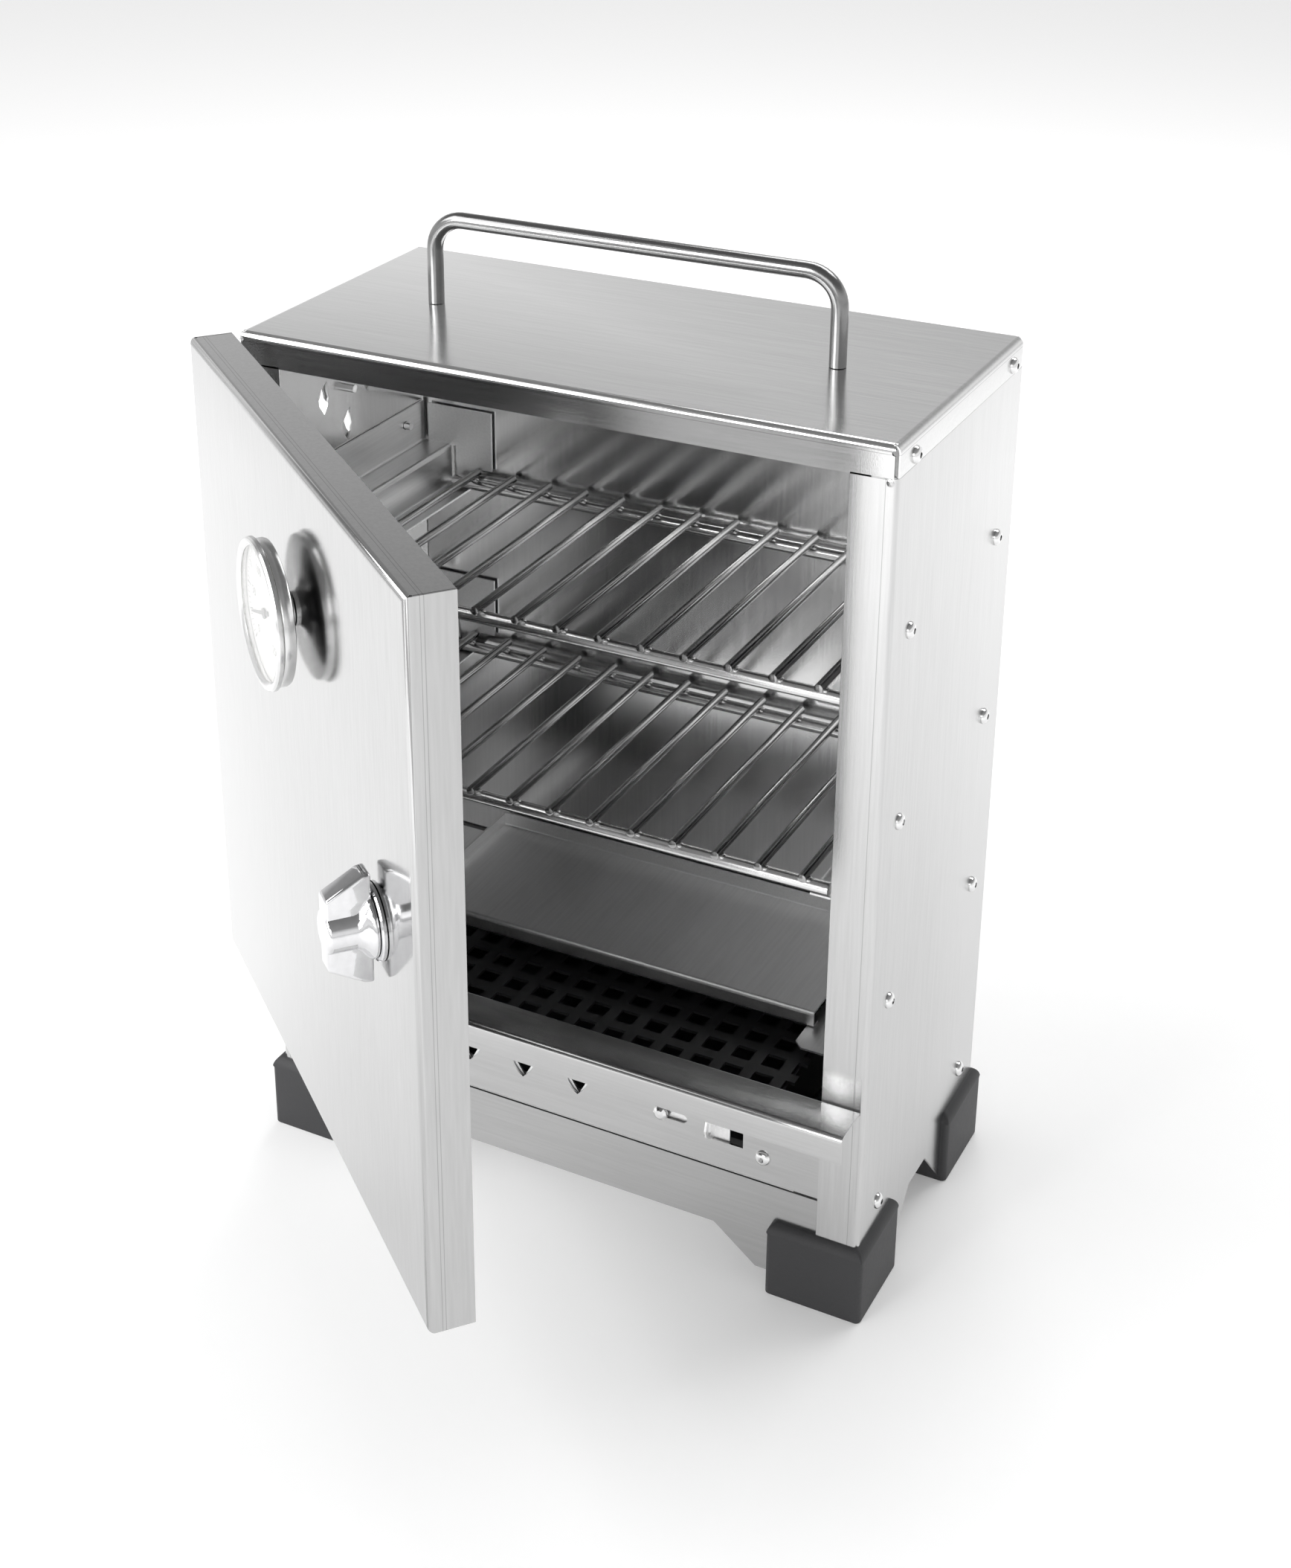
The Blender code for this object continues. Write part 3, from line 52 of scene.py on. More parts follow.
camera_place = Vector((0.4405, -0.7681, 0.7355))
camera_yaw = -0.4999
camera_pitch = -0.3999
camera_roll = -0.0079
ahead = Vector((
    math.sin(camera_yaw) * math.cos(camera_pitch),
    math.cos(camera_yaw) * math.cos(camera_pitch),
    math.sin(camera_pitch),
))
level_right = Vector((math.cos(camera_yaw), -math.sin(camera_yaw), 0))
level_up = level_right.cross(ahead)
across = level_right * math.cos(camera_roll) + level_up * math.sin(camera_roll)
upward = level_up * math.cos(camera_roll) - level_right * math.sin(camera_roll)
lens = bpy.data.cameras.new("camera")
lens.sensor_fit = "HORIZONTAL"
lens.sensor_width = 36
lens.lens = 65.95
lens.shift_x = 0.0721
lens.shift_y = -0.2
lens.clip_start = 0.01
lens.clip_end = 30
camera = bpy.data.objects.new("camera", lens)
bpy.context.scene.collection.objects.link(camera)
camera.matrix_world = Matrix((
    (across.x, upward.x, -ahead.x, camera_place.x),
    (across.y, upward.y, -ahead.y, camera_place.y),
    (across.z, upward.z, -ahead.z, camera_place.z),
    (0, 0, 0, 1),
))
bpy.context.scene.camera = camera


# ---------------------------------------------------------------- floor and light
# A white table under soft boxes.  The table also glows, faintly near the smoker and more strongly further out: painted
# light that lightens the shadows and keeps the far table white.
# The room above it dims towards the ceiling, so that the folded sheet shows soft gradients.

scene = bpy.context.scene
scene.view_settings.view_transform = "Standard"

bpy.ops.object.select_all(action="DESELECT")
bpy.ops.mesh.primitive_circle_add(vertices=96, radius=9, fill_type="NGON", location=(0, 0, 0))
floor = bpy.context.active_object
floor.name = "floor"
floor_paint = bpy.data.materials.new("floor_paint")
floor_paint.use_nodes = True
floor_shader = floor_paint.node_tree.nodes["Principled BSDF"]
floor_shader.inputs["Base Color"].default_value = (0.9, 0.9, 0.9, 1)
floor_shader.inputs["Emission Color"].default_value = (1, 1, 1, 1)
floor_tree = floor_paint.node_tree
floor_place = floor_tree.nodes.new("ShaderNodeTexCoord")
floor_far = floor_tree.nodes.new("ShaderNodeVectorMath")
floor_far.operation = "LENGTH"
# Painted light: the table's glow grows with distance from its middle.
floor_glow = floor_tree.nodes.new("ShaderNodeMapRange")
floor_glow.inputs["From Min"].default_value = 0.2
floor_glow.inputs["From Max"].default_value = 1.1
floor_glow.inputs["To Min"].default_value = 0.16
floor_glow.inputs["To Max"].default_value = 0.45
floor_tree.links.new(floor_place.outputs["Object"], floor_far.inputs[0])
floor_tree.links.new(floor_far.outputs["Value"], floor_glow.inputs["Value"])
floor_tree.links.new(floor_glow.outputs[0], floor_shader.inputs["Emission Strength"])
floor_shader.inputs["Roughness"].default_value = 0.8
floor_shader.inputs["Specular IOR Level"].default_value = 0.1
floor.data.materials.append(floor_paint)

world = bpy.data.worlds.new("studio")
scene.world = world
world.use_nodes = True
room = world.node_tree
room.nodes.clear()
room_out = room.nodes.new("ShaderNodeOutputWorld")
room_light = room.nodes.new("ShaderNodeBackground")
room_place = room.nodes.new("ShaderNodeTexCoord")
room_split = room.nodes.new("ShaderNodeSeparateXYZ")
room_ramp = room.nodes.new("ShaderNodeValToRGB")
room_levels = ((0.0, 1.0), (0.2, 0.95), (0.3, 0.72), (0.45, 0.34), (1.0, 0.22))
while len(room_ramp.color_ramp.elements) < len(room_levels):
    room_ramp.color_ramp.elements.new(0.5)
for element, (place, level) in zip(room_ramp.color_ramp.elements, room_levels):
    element.position = place
    element.color = (level, level, level, 1)
room.links.new(room_place.outputs["Generated"], room_split.inputs[0])
room.links.new(room_split.outputs["Z"], room_ramp.inputs[0])
room.links.new(room_ramp.outputs[0], room_light.inputs["Color"])
room.links.new(room_light.outputs[0], room_out.inputs[0])


def soft_box(name, place, aim, size, power):
    light = bpy.data.lights.new(name, "AREA")
    light.shape = "RECTANGLE"
    light.size, light.size_y = size
    light.energy = power
    lamp = bpy.data.objects.new(name, light)
    scene.collection.objects.link(lamp)
    lamp.location = place
    lamp.rotation_euler = (Vector(aim) - Vector(place)).to_track_quat("-Z", "Y").to_euler()


soft_box("left_soft_box", (-1.3, -0.7, 1.5), (0, 0, 0.1), (1.0, 1.0), 12)
soft_box("back_soft_box", (0.2, 1.2, 1.8), (0, 0, 0.1), (1.8, 0.9), 22)
soft_box("front_soft_box", (0.3, -1.8, 0.9), (0, 0, 0.2), (1.2, 0.8), 5)
soft_box("inner_soft_box", (-0.85, -1.65, 1.1), (0.05, 0, 0.2), (1.0, 1.0), 24)


# ---------------------------------------------------------------- sheet steel
# The cabinet is folded from semi-polished stainless sheet: almost a mirror, blurred by a fine rolling grain
# and faint hand marks, with thin dark press lines beside each fold.  Rods and screws use the same grain.

def shader_group(name, inputs, outputs):
    group = bpy.data.node_groups.new(name, "ShaderNodeTree")
    for label, kind, value in inputs:
        socket = group.interface.new_socket(name=label, in_out="INPUT", socket_type=kind)
        socket.default_value = value
    for label in outputs:
        group.interface.new_socket(name=label, in_out="OUTPUT", socket_type="NodeSocketFloat")
    return group, group.nodes.new("NodeGroupInput"), group.nodes.new("NodeGroupOutput")


def node(tree, kind, settings=(), **links):
    """Add a shader node; settings are its attributes, links its sockets by number or name."""
    made = tree.nodes.new(kind)
    for label, value in settings:
        setattr(made, label, value)
    for label, source in links.items():
        label = int(label[1:]) if label[1:].isdigit() else label.replace("_", " ")
        if isinstance(source, bpy.types.NodeSocket):
            tree.links.new(source, made.inputs[label])
        else:
            made.inputs[label].default_value = source
    return made


grain_group, grain_in, grain_out = shader_group(
    "rolled grain",
    (
        ("Along", "NodeSocketVector", (900.0, 40.0, 900.0)),
        ("Turn", "NodeSocketVector", (0.0, 0.0, 0.0)),
        ("Smear", "NodeSocketFloat", 0.5),
    ),
    ("Streak", "Smudge", "Height"),
)
place = node(grain_group, "ShaderNodeTexCoord").outputs["Object"]
turned = node(
    grain_group, "ShaderNodeVectorRotate", [("rotation_type", "EULER_XYZ")],
    Vector=place, Rotation=grain_in.outputs["Turn"],
)
drawn = node(
    grain_group, "ShaderNodeVectorMath", [("operation", "MULTIPLY")],
    i0=turned.outputs[0], i1=grain_in.outputs["Along"],
)
streak = node(grain_group, "ShaderNodeTexNoise", Vector=drawn.outputs[0], Scale=1.0, Detail=3.0)
blotch = node(grain_group, "ShaderNodeTexNoise", Vector=place, Scale=14.0, Detail=4.0, Roughness=0.6)
speck = node(grain_group, "ShaderNodeTexNoise", Vector=place, Scale=2600.0, Detail=1.0)
smudge = node(
    grain_group, "ShaderNodeMath", [("operation", "MULTIPLY")],
    i0=blotch.outputs["Fac"], i1=grain_in.outputs["Smear"],
)
relief = node(
    grain_group, "ShaderNodeMath", [("operation", "ADD")], i0=streak.outputs["Fac"], i1=speck.outputs["Fac"]
)
grain_group.links.new(streak.outputs["Fac"], grain_out.inputs["Streak"])
grain_group.links.new(smudge.outputs[0], grain_out.inputs["Smudge"])
grain_group.links.new(relief.outputs[0], grain_out.inputs["Height"])


def grained(name, colour, rough, metallic, along=(900, 900, 30), turn=(0, 0, 0), smear=0.5, bump=0.05, spread=0.05):
    """Material with a streaked grain: tone, roughness and height all vary with it."""
    material = bpy.data.materials.new(name)
    material.use_nodes = True
    tree = material.node_tree
    shader = tree.nodes["Principled BSDF"]
    shader.inputs["Metallic"].default_value = metallic
    grain = node(tree, "ShaderNodeGroup", [("node_tree", grain_group)], Along=along, Turn=turn, Smear=smear)
    tone = node(tree, "ShaderNodeMapRange", Value=grain.outputs["Streak"])
    for label, value in (("From Min", 0.3), ("From Max", 0.7), ("To Min", 0.95), ("To Max", 1.03)):
        tone.inputs[label].default_value = value
    shade = node(
        tree, "ShaderNodeMix", [("data_type", "RGBA"), ("blend_type", "MULTIPLY")],
        i0=1.0, i6=(*colour, 1), i7=tone.outputs[0],
    )
    mixed = node(
        tree, "ShaderNodeMath", [("operation", "MULTIPLY_ADD")],
        i0=grain.outputs["Streak"], i1=0.5, i2=grain.outputs["Smudge"],
    )
    gloss = node(tree, "ShaderNodeMapRange", Value=mixed.outputs[0])
    gloss.inputs["To Min"].default_value = rough - spread
    gloss.inputs["To Max"].default_value = rough + spread
    bumps = node(tree, "ShaderNodeBump", Height=grain.outputs["Height"], Strength=bump, Distance=0.0002)
    tree.links.new(shade.outputs[2], shader.inputs["Base Color"])
    tree.links.new(gloss.outputs[0], shader.inputs["Roughness"])
    tree.links.new(bumps.outputs[0], shader.inputs["Normal"])
    return material


def finish_nodes(material, *names):
    for name in names:
        nodes[name].data.materials.clear()
        nodes[name].data.materials.append(material)


steel = (0.66, 0.66, 0.66)
door_turn = math.radians(39.8)
wall_sheet = grained("wall_sheet", (0.5, 0.5, 0.5), 0.20, 1.0, (30, 900, 900), bump=0.02)
lid_sheet = grained("lid_sheet", (0.7, 0.7, 0.7), 0.16, 1.0, (30, 900, 900))
# The rails, tray, brackets, hinge leaves and other inner parts get a brighter copy of the steel than the outside:
# painted light, standing in for light falling into the cabinet.
inner_sheet_painted_bright = grained("inner_sheet_painted_bright", (0.92, 0.92, 0.92), 0.36, 1.0, (900, 30, 900), smear=0.8, bump=0.015, spread=0.08)
back_sheet = grained("back_sheet", (0.9, 0.9, 0.9), 0.19, 1.0, (900, 900, 30))
finish_nodes(wall_sheet, "front_vent_plate", "front_skirt")
finish_nodes(back_sheet, "back_panel")
finish_nodes(
    inner_sheet_painted_bright, "base_floor", "upper_rail_left", "upper_rail_right", "lower_rail_left", "lower_rail_right",
    "left_tray_bracket", "right_tray_bracket", "drip_tray", "smoke_damper", "air_slider", "latch_cam",
    "latch_nut", "thermometer_nut", "hinge_lower_cabinet_leaf", "hinge_upper_cabinet_leaf",
    "hinge_lower_door_leaf", "hinge_upper_door_leaf",
)



# ---------------------------------------------------------------- cabinet shell
# One sheet wraps over the top and down both sides; its front edges are folded in as stiles and its rear
# edges as flanges.  The front edge of the top is folded down and welded to the stiles at the corners.  The
# left wall stands back a little, so that hinge leaves and damper lie on it, under the cover's edge.

def line_of(name, points):
    """Leaves a line of vertices through points, in edit mode, with only its last vertex picked."""
    bpy.ops.object.select_all(action="DESELECT")
    bpy.ops.mesh.primitive_plane_add(size=0.01, location=(0, 0, 0))
    made = bpy.context.active_object
    made.name = name
    bpy.ops.object.mode_set(mode="EDIT")
    bpy.ops.mesh.select_mode(type="VERT")
    bpy.ops.mesh.select_all(action="SELECT")
    bpy.ops.mesh.merge(type="CENTER")
    bpy.ops.transform.translate(value=points[0])
    for first, second in zip(points, points[1:]):
        step = Vector(second) - Vector(first)
        bpy.ops.mesh.extrude_region_move(TRANSFORM_OT_translate={"value": step})
    return made


def apply_all(made):
    bpy.ops.object.select_all(action="DESELECT")
    made.select_set(True)
    bpy.context.view_layer.objects.active = made
    for modifier in list(made.modifiers):
        bpy.ops.object.modifier_apply(modifier=modifier.name)


def pick(made, kind, wanted):
    """In edit mode, pick only the vertices, edges or faces whose middle passes the test."""
    bpy.ops.object.mode_set(mode="EDIT")
    bpy.ops.mesh.select_mode(type=kind)
    bpy.ops.mesh.select_all(action="DESELECT")
    bpy.ops.object.mode_set(mode="OBJECT")
    mesh = made.data
    if kind == "VERT":
        for vertex in mesh.vertices:
            vertex.select = wanted(vertex.co)
    elif kind == "EDGE":
        for edge in mesh.edges:
            a, b = (mesh.vertices[i].co for i in edge.vertices)
            edge.select = wanted((a + b) / 2, b - a)
    else:
        for face in mesh.polygons:
            face.select = wanted(face.center, face.normal)
    bpy.ops.object.mode_set(mode="EDIT")


def rounded(made, width, segments=2, angle=40):
    bevel = made.modifiers.new("edge", "BEVEL")
    bevel.width = width
    bevel.segments = segments
    bevel.limit_method = "ANGLE"
    bevel.angle_limit = math.radians(angle)
    bevel.use_clamp_overlap = True
    apply_all(made)
    return made


def folded(name, path, run, bend, thickness=1.0 * mm, steps=5, edge=0.12 * mm):
    """Sheet whose middle line follows path, drawn out by run, with a round fold at each inner point."""
    made = line_of(name, path)
    bpy.ops.mesh.select_all(action="SELECT")
    bpy.ops.mesh.extrude_region_move(TRANSFORM_OT_translate={"value": run})
    bpy.ops.object.mode_set(mode="OBJECT")
    inner_points = [Vector(p) + Vector(run) / 2 for p in path[1:-1]]
    if inner_points and bend:
        pick(made, "EDGE", lambda at, way: any((at - p).length < 1e-6 for p in inner_points))
        bpy.ops.mesh.bevel(offset=bend, offset_type="OFFSET", segments=steps, profile=0.5, affect="EDGES")
        bpy.ops.object.mode_set(mode="OBJECT")
    sheet = made.modifiers.new("thickness", "SOLIDIFY")
    sheet.thickness = thickness
    sheet.offset = 0
    sheet.use_even_offset = True
    apply_all(made)
    if edge:
        rounded(made, edge, 1, 60)
    return made


def prism(name, outline, run):
    """Closed bar with the given outline, drawn out by run."""
    made = line_of(name, outline)
    bpy.ops.mesh.select_all(action="SELECT")
    bpy.ops.mesh.edge_face_add()
    bpy.ops.mesh.extrude_region_move(TRANSFORM_OT_translate={"value": run})
    bpy.ops.mesh.select_all(action="SELECT")
    bpy.ops.mesh.normals_make_consistent(inside=False)
    bpy.ops.object.mode_set(mode="OBJECT")
    return made


def cut_away(made, *cutters):
    for cutter in cutters:
        cut = made.modifiers.new("cut", "BOOLEAN")
        cut.operation = "DIFFERENCE"
        cut.solver = "EXACT"
        cut.object = cutter
        apply_all(made)
        bpy.data.objects.remove(cutter, do_unlink=True)
    return made


def round_bar(name, radius, start, end, sides=24):
    """Plain round bar between two points, as stock for cutters, shanks and wires."""
    way = Vector(end) - Vector(start)
    bpy.ops.object.select_all(action="DESELECT")
    bpy.ops.mesh.primitive_cylinder_add(
        vertices=sides, radius=radius, depth=way.length, location=(Vector(start) + Vector(end)) / 2,
        rotation=way.to_track_quat("Z", "Y").to_euler(),
    )
    made = bpy.context.active_object
    made.name = name
    bpy.ops.object.transform_apply(location=True, rotation=True, scale=True)
    return made


def done(made, material, body, slot, *replaced, smooth=35):
    """Material, body and the CAD nodes it stands for; slot is not used."""
    bpy.ops.object.select_all(action="DESELECT")
    made.select_set(True)
    bpy.context.view_layer.objects.active = made
    if smooth:
        bpy.ops.object.shade_smooth_by_angle(angle=math.radians(smooth))
    made.data.materials.clear()
    made.data.materials.append(material)
    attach(made, body)
    if replaced:
        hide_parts(*replaced)
    return made


lid_low, lid_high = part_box("lid")
left, front = lid_low.x, lid_low.y
wide, deep, top = lid_high.x - left, lid_high.y - front, lid_high.z


def at(x, y, z):
    """Place in millimetres from the cabinet's left side, its front and the floor."""
    return Vector((left + x * mm, front + y * mm, z * mm))


press_group, press_in, press_out = shader_group(
    "press line",
    (("Coordinate", "NodeSocketFloat", 0.0), ("Place", "NodeSocketFloat", 0.0), ("Width", "NodeSocketFloat", 0.0002)),
    ("Line",),
)
press_off = node(
    press_group, "ShaderNodeMath", [("operation", "SUBTRACT")],
    i0=press_in.outputs["Coordinate"], i1=press_in.outputs["Place"],
)
press_far = node(press_group, "ShaderNodeMath", [("operation", "ABSOLUTE")], i0=press_off.outputs[0])
press_share = node(
    press_group, "ShaderNodeMath", [("operation", "DIVIDE")],
    i0=press_far.outputs[0], i1=press_in.outputs["Width"],
)
press_mask = node(
    press_group, "ShaderNodeMath", [("operation", "SUBTRACT"), ("use_clamp", True)],
    i0=1.0, i1=press_share.outputs[0],
)
press_group.links.new(press_mask.outputs[0], press_out.inputs["Line"])


def press_lines(material, lines, turn=0.0, strength=0.55):
    """Dark thin marks of the press brake on planes square to an axis: (axis, place) for each."""
    tree = material.node_tree
    shader = tree.nodes["Principled BSDF"]
    source = node(tree, "ShaderNodeTexCoord").outputs["Object"]
    if turn:
        source = node(
            tree, "ShaderNodeVectorRotate", [("rotation_type", "Z_AXIS")], Vector=source, Angle=turn
        ).outputs[0]
    split = node(tree, "ShaderNodeSeparateXYZ", Vector=source)
    total = None
    for axis, place in lines:
        line = node(
            tree, "ShaderNodeGroup", [("node_tree", press_group)],
            Coordinate=split.outputs[axis], Place=place, Width=0.22 * mm,
        ).outputs["Line"]
        if total is not None:
            line = node(tree, "ShaderNodeMath", [("operation", "MAXIMUM")], i0=total, i1=line).outputs[0]
        total = line
    faint = node(tree, "ShaderNodeMath", [("operation", "MULTIPLY")], i0=total, i1=strength)
    colour = shader.inputs["Base Color"].links[0].from_socket
    dark = node(
        tree, "ShaderNodeMix", [("data_type", "RGBA")], i0=faint.outputs[0], i6=colour, i7=(0.12, 0.12, 0.12, 1)
    )
    tree.links.new(dark.outputs[2], shader.inputs["Base Color"])
    return material


shell_sheet = press_lines(
    grained("shell_sheet", (0.6, 0.6, 0.6), 0.19, 1.0),
    ((0, left + 5.2 * mm), (0, left + wide - 5.2 * mm), (2, top - 3.9 * mm)),
)
arch = [at(0, y, z) for y, z in ((36, -4), (114, -4), (85.5, 28.5), (64.5, 28.5))]
walls = []
for side, name in ((0, "left"), (1, "right")):
    x = (lambda v: v + 1.3) if side == 0 else (lambda v: 305 - v)
    wall = folded(
        name + "_wall",
        [at(x(20), 0.5, 3.6), at(x(0.5), 0.5, 3.6), at(x(0.5), 149.5, 3.6), at(x(14), 149.5, 3.6)],
        Vector((0, 0, 398.0 * mm)), 2.0 * mm,
    )
    cutter = prism("arch_cut", [p + Vector(((x(0) - 10) * mm, 0, 0)) for p in arch], Vector((20 * mm, 0, 0)))
    cut_away(wall, cutter)
    walls.append(wall)
flames = []
for number in range(4):
    around = number * math.pi / 2
    y = 78.6 + 18.5 * math.cos(around)
    z = 364.8 + 18.5 * math.sin(around)
    leaf = ((0.4, -8), (3.2, -4.5), (4.2, -0.5), (3.0, 3.5), (3.4, 8), (0.8, 6.0), (-1.8, 4.6), (-4.0, 1.5), (-3.4, -3.0))
    flames.append(prism("vent_cut", [at(-4, y + u, z + v) for u, v in leaf], Vector((8 * mm, 0, 0))))
cut_away(walls[0], *flames)
done(walls[0], shell_sheet, "cabinet", "cabinet_steel", "left_side_panel")
done(walls[1], shell_sheet, "cabinet", "cabinet_steel", "right_side_panel")

cover = folded(
    "top_cover",
    [at(0.5, 1.3, 401.6), at(0.5, 1.3, 414.5), at(304.5, 1.3, 414.5), at(304.5, 1.3, 401.6)],
    Vector((0, 145.7 * mm, 0)), 2.6 * mm,
)
corner_cut = prism(
    "corner_cut", [at(3.2, -2, 408), at(301.8, -2, 408), at(301.8, -2, 420), at(3.2, -2, 420)],
    Vector((0, 5.0 * mm, 0)),
)
cut_away(cover, corner_cut)
lid_steel = press_lines(lid_sheet, ((2, top - 3.9 * mm),))
done(cover, lid_steel, "cabinet", "cabinet_steel", "lid")

front_fold = folded(
    "front_fold", [at(2.0, 3.05, 414.5), at(2.0, 0.5, 414.5), at(2.0, 0.5, 400.7)],
    Vector((301.0 * mm, 0, 0)), 2.5 * mm,
)
relief_holes = [
    round_bar("relief_cut", 1.1 * mm, at(x, -2, 410.6 + 1.2), at(x, 6, 410.6 + 1.2)) for x in (2.2, 302.8)
]
cut_away(front_fold, *relief_holes)
done(front_fold, lid_steel, "cabinet", "cabinet_steel")
rear_fold = folded(
    "rear_fold", [at(2.0, 146.95, 414.5), at(2.0, 149.5, 414.5), at(2.0, 149.5, 400.7)],
    Vector((301.0 * mm, 0, 0)), 2.5 * mm,
)
done(rear_fold, lid_steel, "cabinet", "cabinet_steel")


# ---------------------------------------------------------------- corner welds
# Bright lumpy beads run along the lower edge of the front fold where it meets each stile.

weld_metal = grained("weld_metal", (0.6, 0.6, 0.6), 0.22, 1.0, (500, 500, 500), bump=0.4, spread=0.1)
random.seed(4)
for name, x, way in (("left", 3.2, 1), ("right", 301.6, -1)):
    beads = []
    lumps = [(0.0, 0.0, 2.3), (-0.9, 1.6, 1.5), (0.7, 1.9, 1.3), (0.9, -1.4, 1.6), (-0.9, -1.6, 1.4)]
    lumps += [(2.2 + 1.05 * i, -0.2 + random.uniform(-0.3, 0.3), 1.25 - 0.07 * i) for i in range(9)]
    for u, v, size in lumps:
        bpy.ops.object.select_all(action="DESELECT")
        bpy.ops.mesh.primitive_uv_sphere_add(
            segments=14, ring_count=8, radius=size * mm, location=at(x + way * u, 1.0, 399.6 + v),
            scale=(1, 0.62, 1),
        )
        beads.append(bpy.context.active_object)
    bpy.ops.object.select_all(action="DESELECT")
    for bead in beads:
        bead.select_set(True)
    bpy.context.view_layer.objects.active = beads[0]
    bpy.ops.object.join()
    weld = bpy.context.active_object
    weld.name = name + "_weld"
    bpy.ops.object.transform_apply(location=True, rotation=True, scale=True)
    fuse = weld.modifiers.new("fuse", "REMESH")
    fuse.mode = "VOXEL"
    fuse.voxel_size = 0.28 * mm
    apply_all(weld)
    done(weld, weld_metal, "cabinet", "cabinet_steel", smooth=80)


# ---------------------------------------------------------------- door
# A shallow tray of bright sheet stands open on two hinges.  Its four flanges are folded back from the
# face, and at the corners they meet in thin dark seams.

door_low, door_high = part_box("door")
door_steel = grained("door_steel", (0.49, 0.49, 0.49), 0.105, 1.0, (700, 700, 40), (0, 0, door_turn), 0.5, 0.03, 0.03)
hinge = Vector((-0.151016, 0.024547, 0))


def turned_to_door(made):
    """Turns a piece made on the closed door, hinge at the origin, to where the door stands."""
    bpy.ops.object.select_all(action="DESELECT")
    made.select_set(True)
    bpy.context.view_layer.objects.active = made
    made.rotation_euler = (0, 0, -door_turn)
    made.location = hinge
    bpy.ops.object.transform_apply(location=True, rotation=True, scale=True)
    return made


def box_bar(name, low, high):
    """Square-edged block between two corners."""
    bpy.ops.object.select_all(action="DESELECT")
    low, high = Vector(low), Vector(high)
    bpy.ops.mesh.primitive_cube_add(size=1, location=(low + high) / 2, scale=high - low)
    made = bpy.context.active_object
    made.name = name
    bpy.ops.object.transform_apply(location=True, rotation=True, scale=True)
    return made


door = box_bar("door_tray", Vector((3.2, -19.1, 111.3)) * mm, Vector((294.2, -0.2, 415.0)) * mm)
pick(door, "FACE", lambda at_, way: way.y > 0.9)
bpy.ops.mesh.inset(thickness=1.0 * mm, depth=0)
bpy.ops.mesh.extrude_region_move(TRANSFORM_OT_translate={"value": (0, -17.9 * mm, 0)})
bpy.ops.object.mode_set(mode="OBJECT")
pick(door, "EDGE", lambda at_, way: at_.y < -19.0 * mm)
bpy.ops.mesh.bevel(offset=2.8 * mm, offset_type="OFFSET", segments=6, profile=0.5, affect="EDGES")
bpy.ops.object.mode_set(mode="OBJECT")
for seam_x in (4.15, 293.25):
    for z in (111.3, 415.0):
        seam = box_bar(
            "seam_cut",
            Vector((seam_x - 0.16, -16.3, z - 3)) * mm, Vector((seam_x + 0.16, 2, z + 3)) * mm,
        )
        cut_away(door, seam)
        dot = round_bar(
            "dot_cut", 0.75 * mm, Vector((seam_x, -16.1, z - 3)) * mm, Vector((seam_x, -16.1, z + 3)) * mm, 12,
        )
        cut_away(door, dot)
shaft_hole = round_bar("shaft_cut", 5.0 * mm, Vector((248.5, -25, 266)) * mm, Vector((248.5, 5, 266)) * mm)
probe_hole = round_bar("probe_cut", 4.2 * mm, Vector((151.2, -25, 350)) * mm, Vector((151.2, 5, 350)) * mm)
cut_away(door, shaft_hole, probe_hole)
rounded(door, 0.12 * mm, 1, 60)
turned_to_door(door)
door_marks = (
    (1, hinge.y * math.cos(door_turn) + hinge.x * math.sin(door_turn) - 13.3 * mm),
    (1, hinge.y * math.cos(door_turn) + hinge.x * math.sin(door_turn) - 11.9 * mm),
)
press_lines(door_steel, door_marks, door_turn, 0.5)
done(door, door_steel, "door", "cabinet_steel", "door")


# ---------------------------------------------------------------- turn knob
# A chromed cast knob on a flat collar: a flared hub with a tapered bar across it.  Its polish gives hard
# light and dark reflections.

knob_chrome = grained("knob_chrome", (0.72, 0.72, 0.73), 0.06, 1.0, (300, 300, 300), bump=0.01, spread=0.02)
finish_nodes(knob_chrome, "latch_shaft", "thermometer_probe")


def turned(name, profile, steps=72):
    """Lathe-turned part round the upright axis; profile gives (radius, height) in millimetres."""
    made = line_of(name, [Vector((r, 0, h)) * mm for r, h in profile])
    bpy.ops.mesh.select_all(action="SELECT")
    bpy.ops.mesh.spin(steps=steps, angle=2 * math.pi, center=(0, 0, 0), axis=(0, 0, 1))
    bpy.ops.mesh.select_all(action="SELECT")
    bpy.ops.mesh.remove_doubles(threshold=0.01 * mm)
    bpy.ops.mesh.normals_make_consistent(inside=False)
    bpy.ops.object.mode_set(mode="OBJECT")
    return made


def joined(first, *others):
    bpy.ops.object.select_all(action="DESELECT")
    for other in others:
        other.select_set(True)
    first.select_set(True)
    bpy.context.view_layer.objects.active = first
    bpy.ops.object.join()
    return first


def placed(made, rotation, place):
    bpy.ops.object.select_all(action="DESELECT")
    made.select_set(True)
    bpy.context.view_layer.objects.active = made
    made.rotation_euler = rotation
    made.location = place
    bpy.ops.object.transform_apply(location=True, rotation=True, scale=True)
    return made


def out_of_door(made, x, z):
    """Stands a part made round the upright axis on the door's face."""
    placed(made, (math.pi / 2, 0, 0), Vector((x, -19.1, z)) * mm)
    return turned_to_door(made)


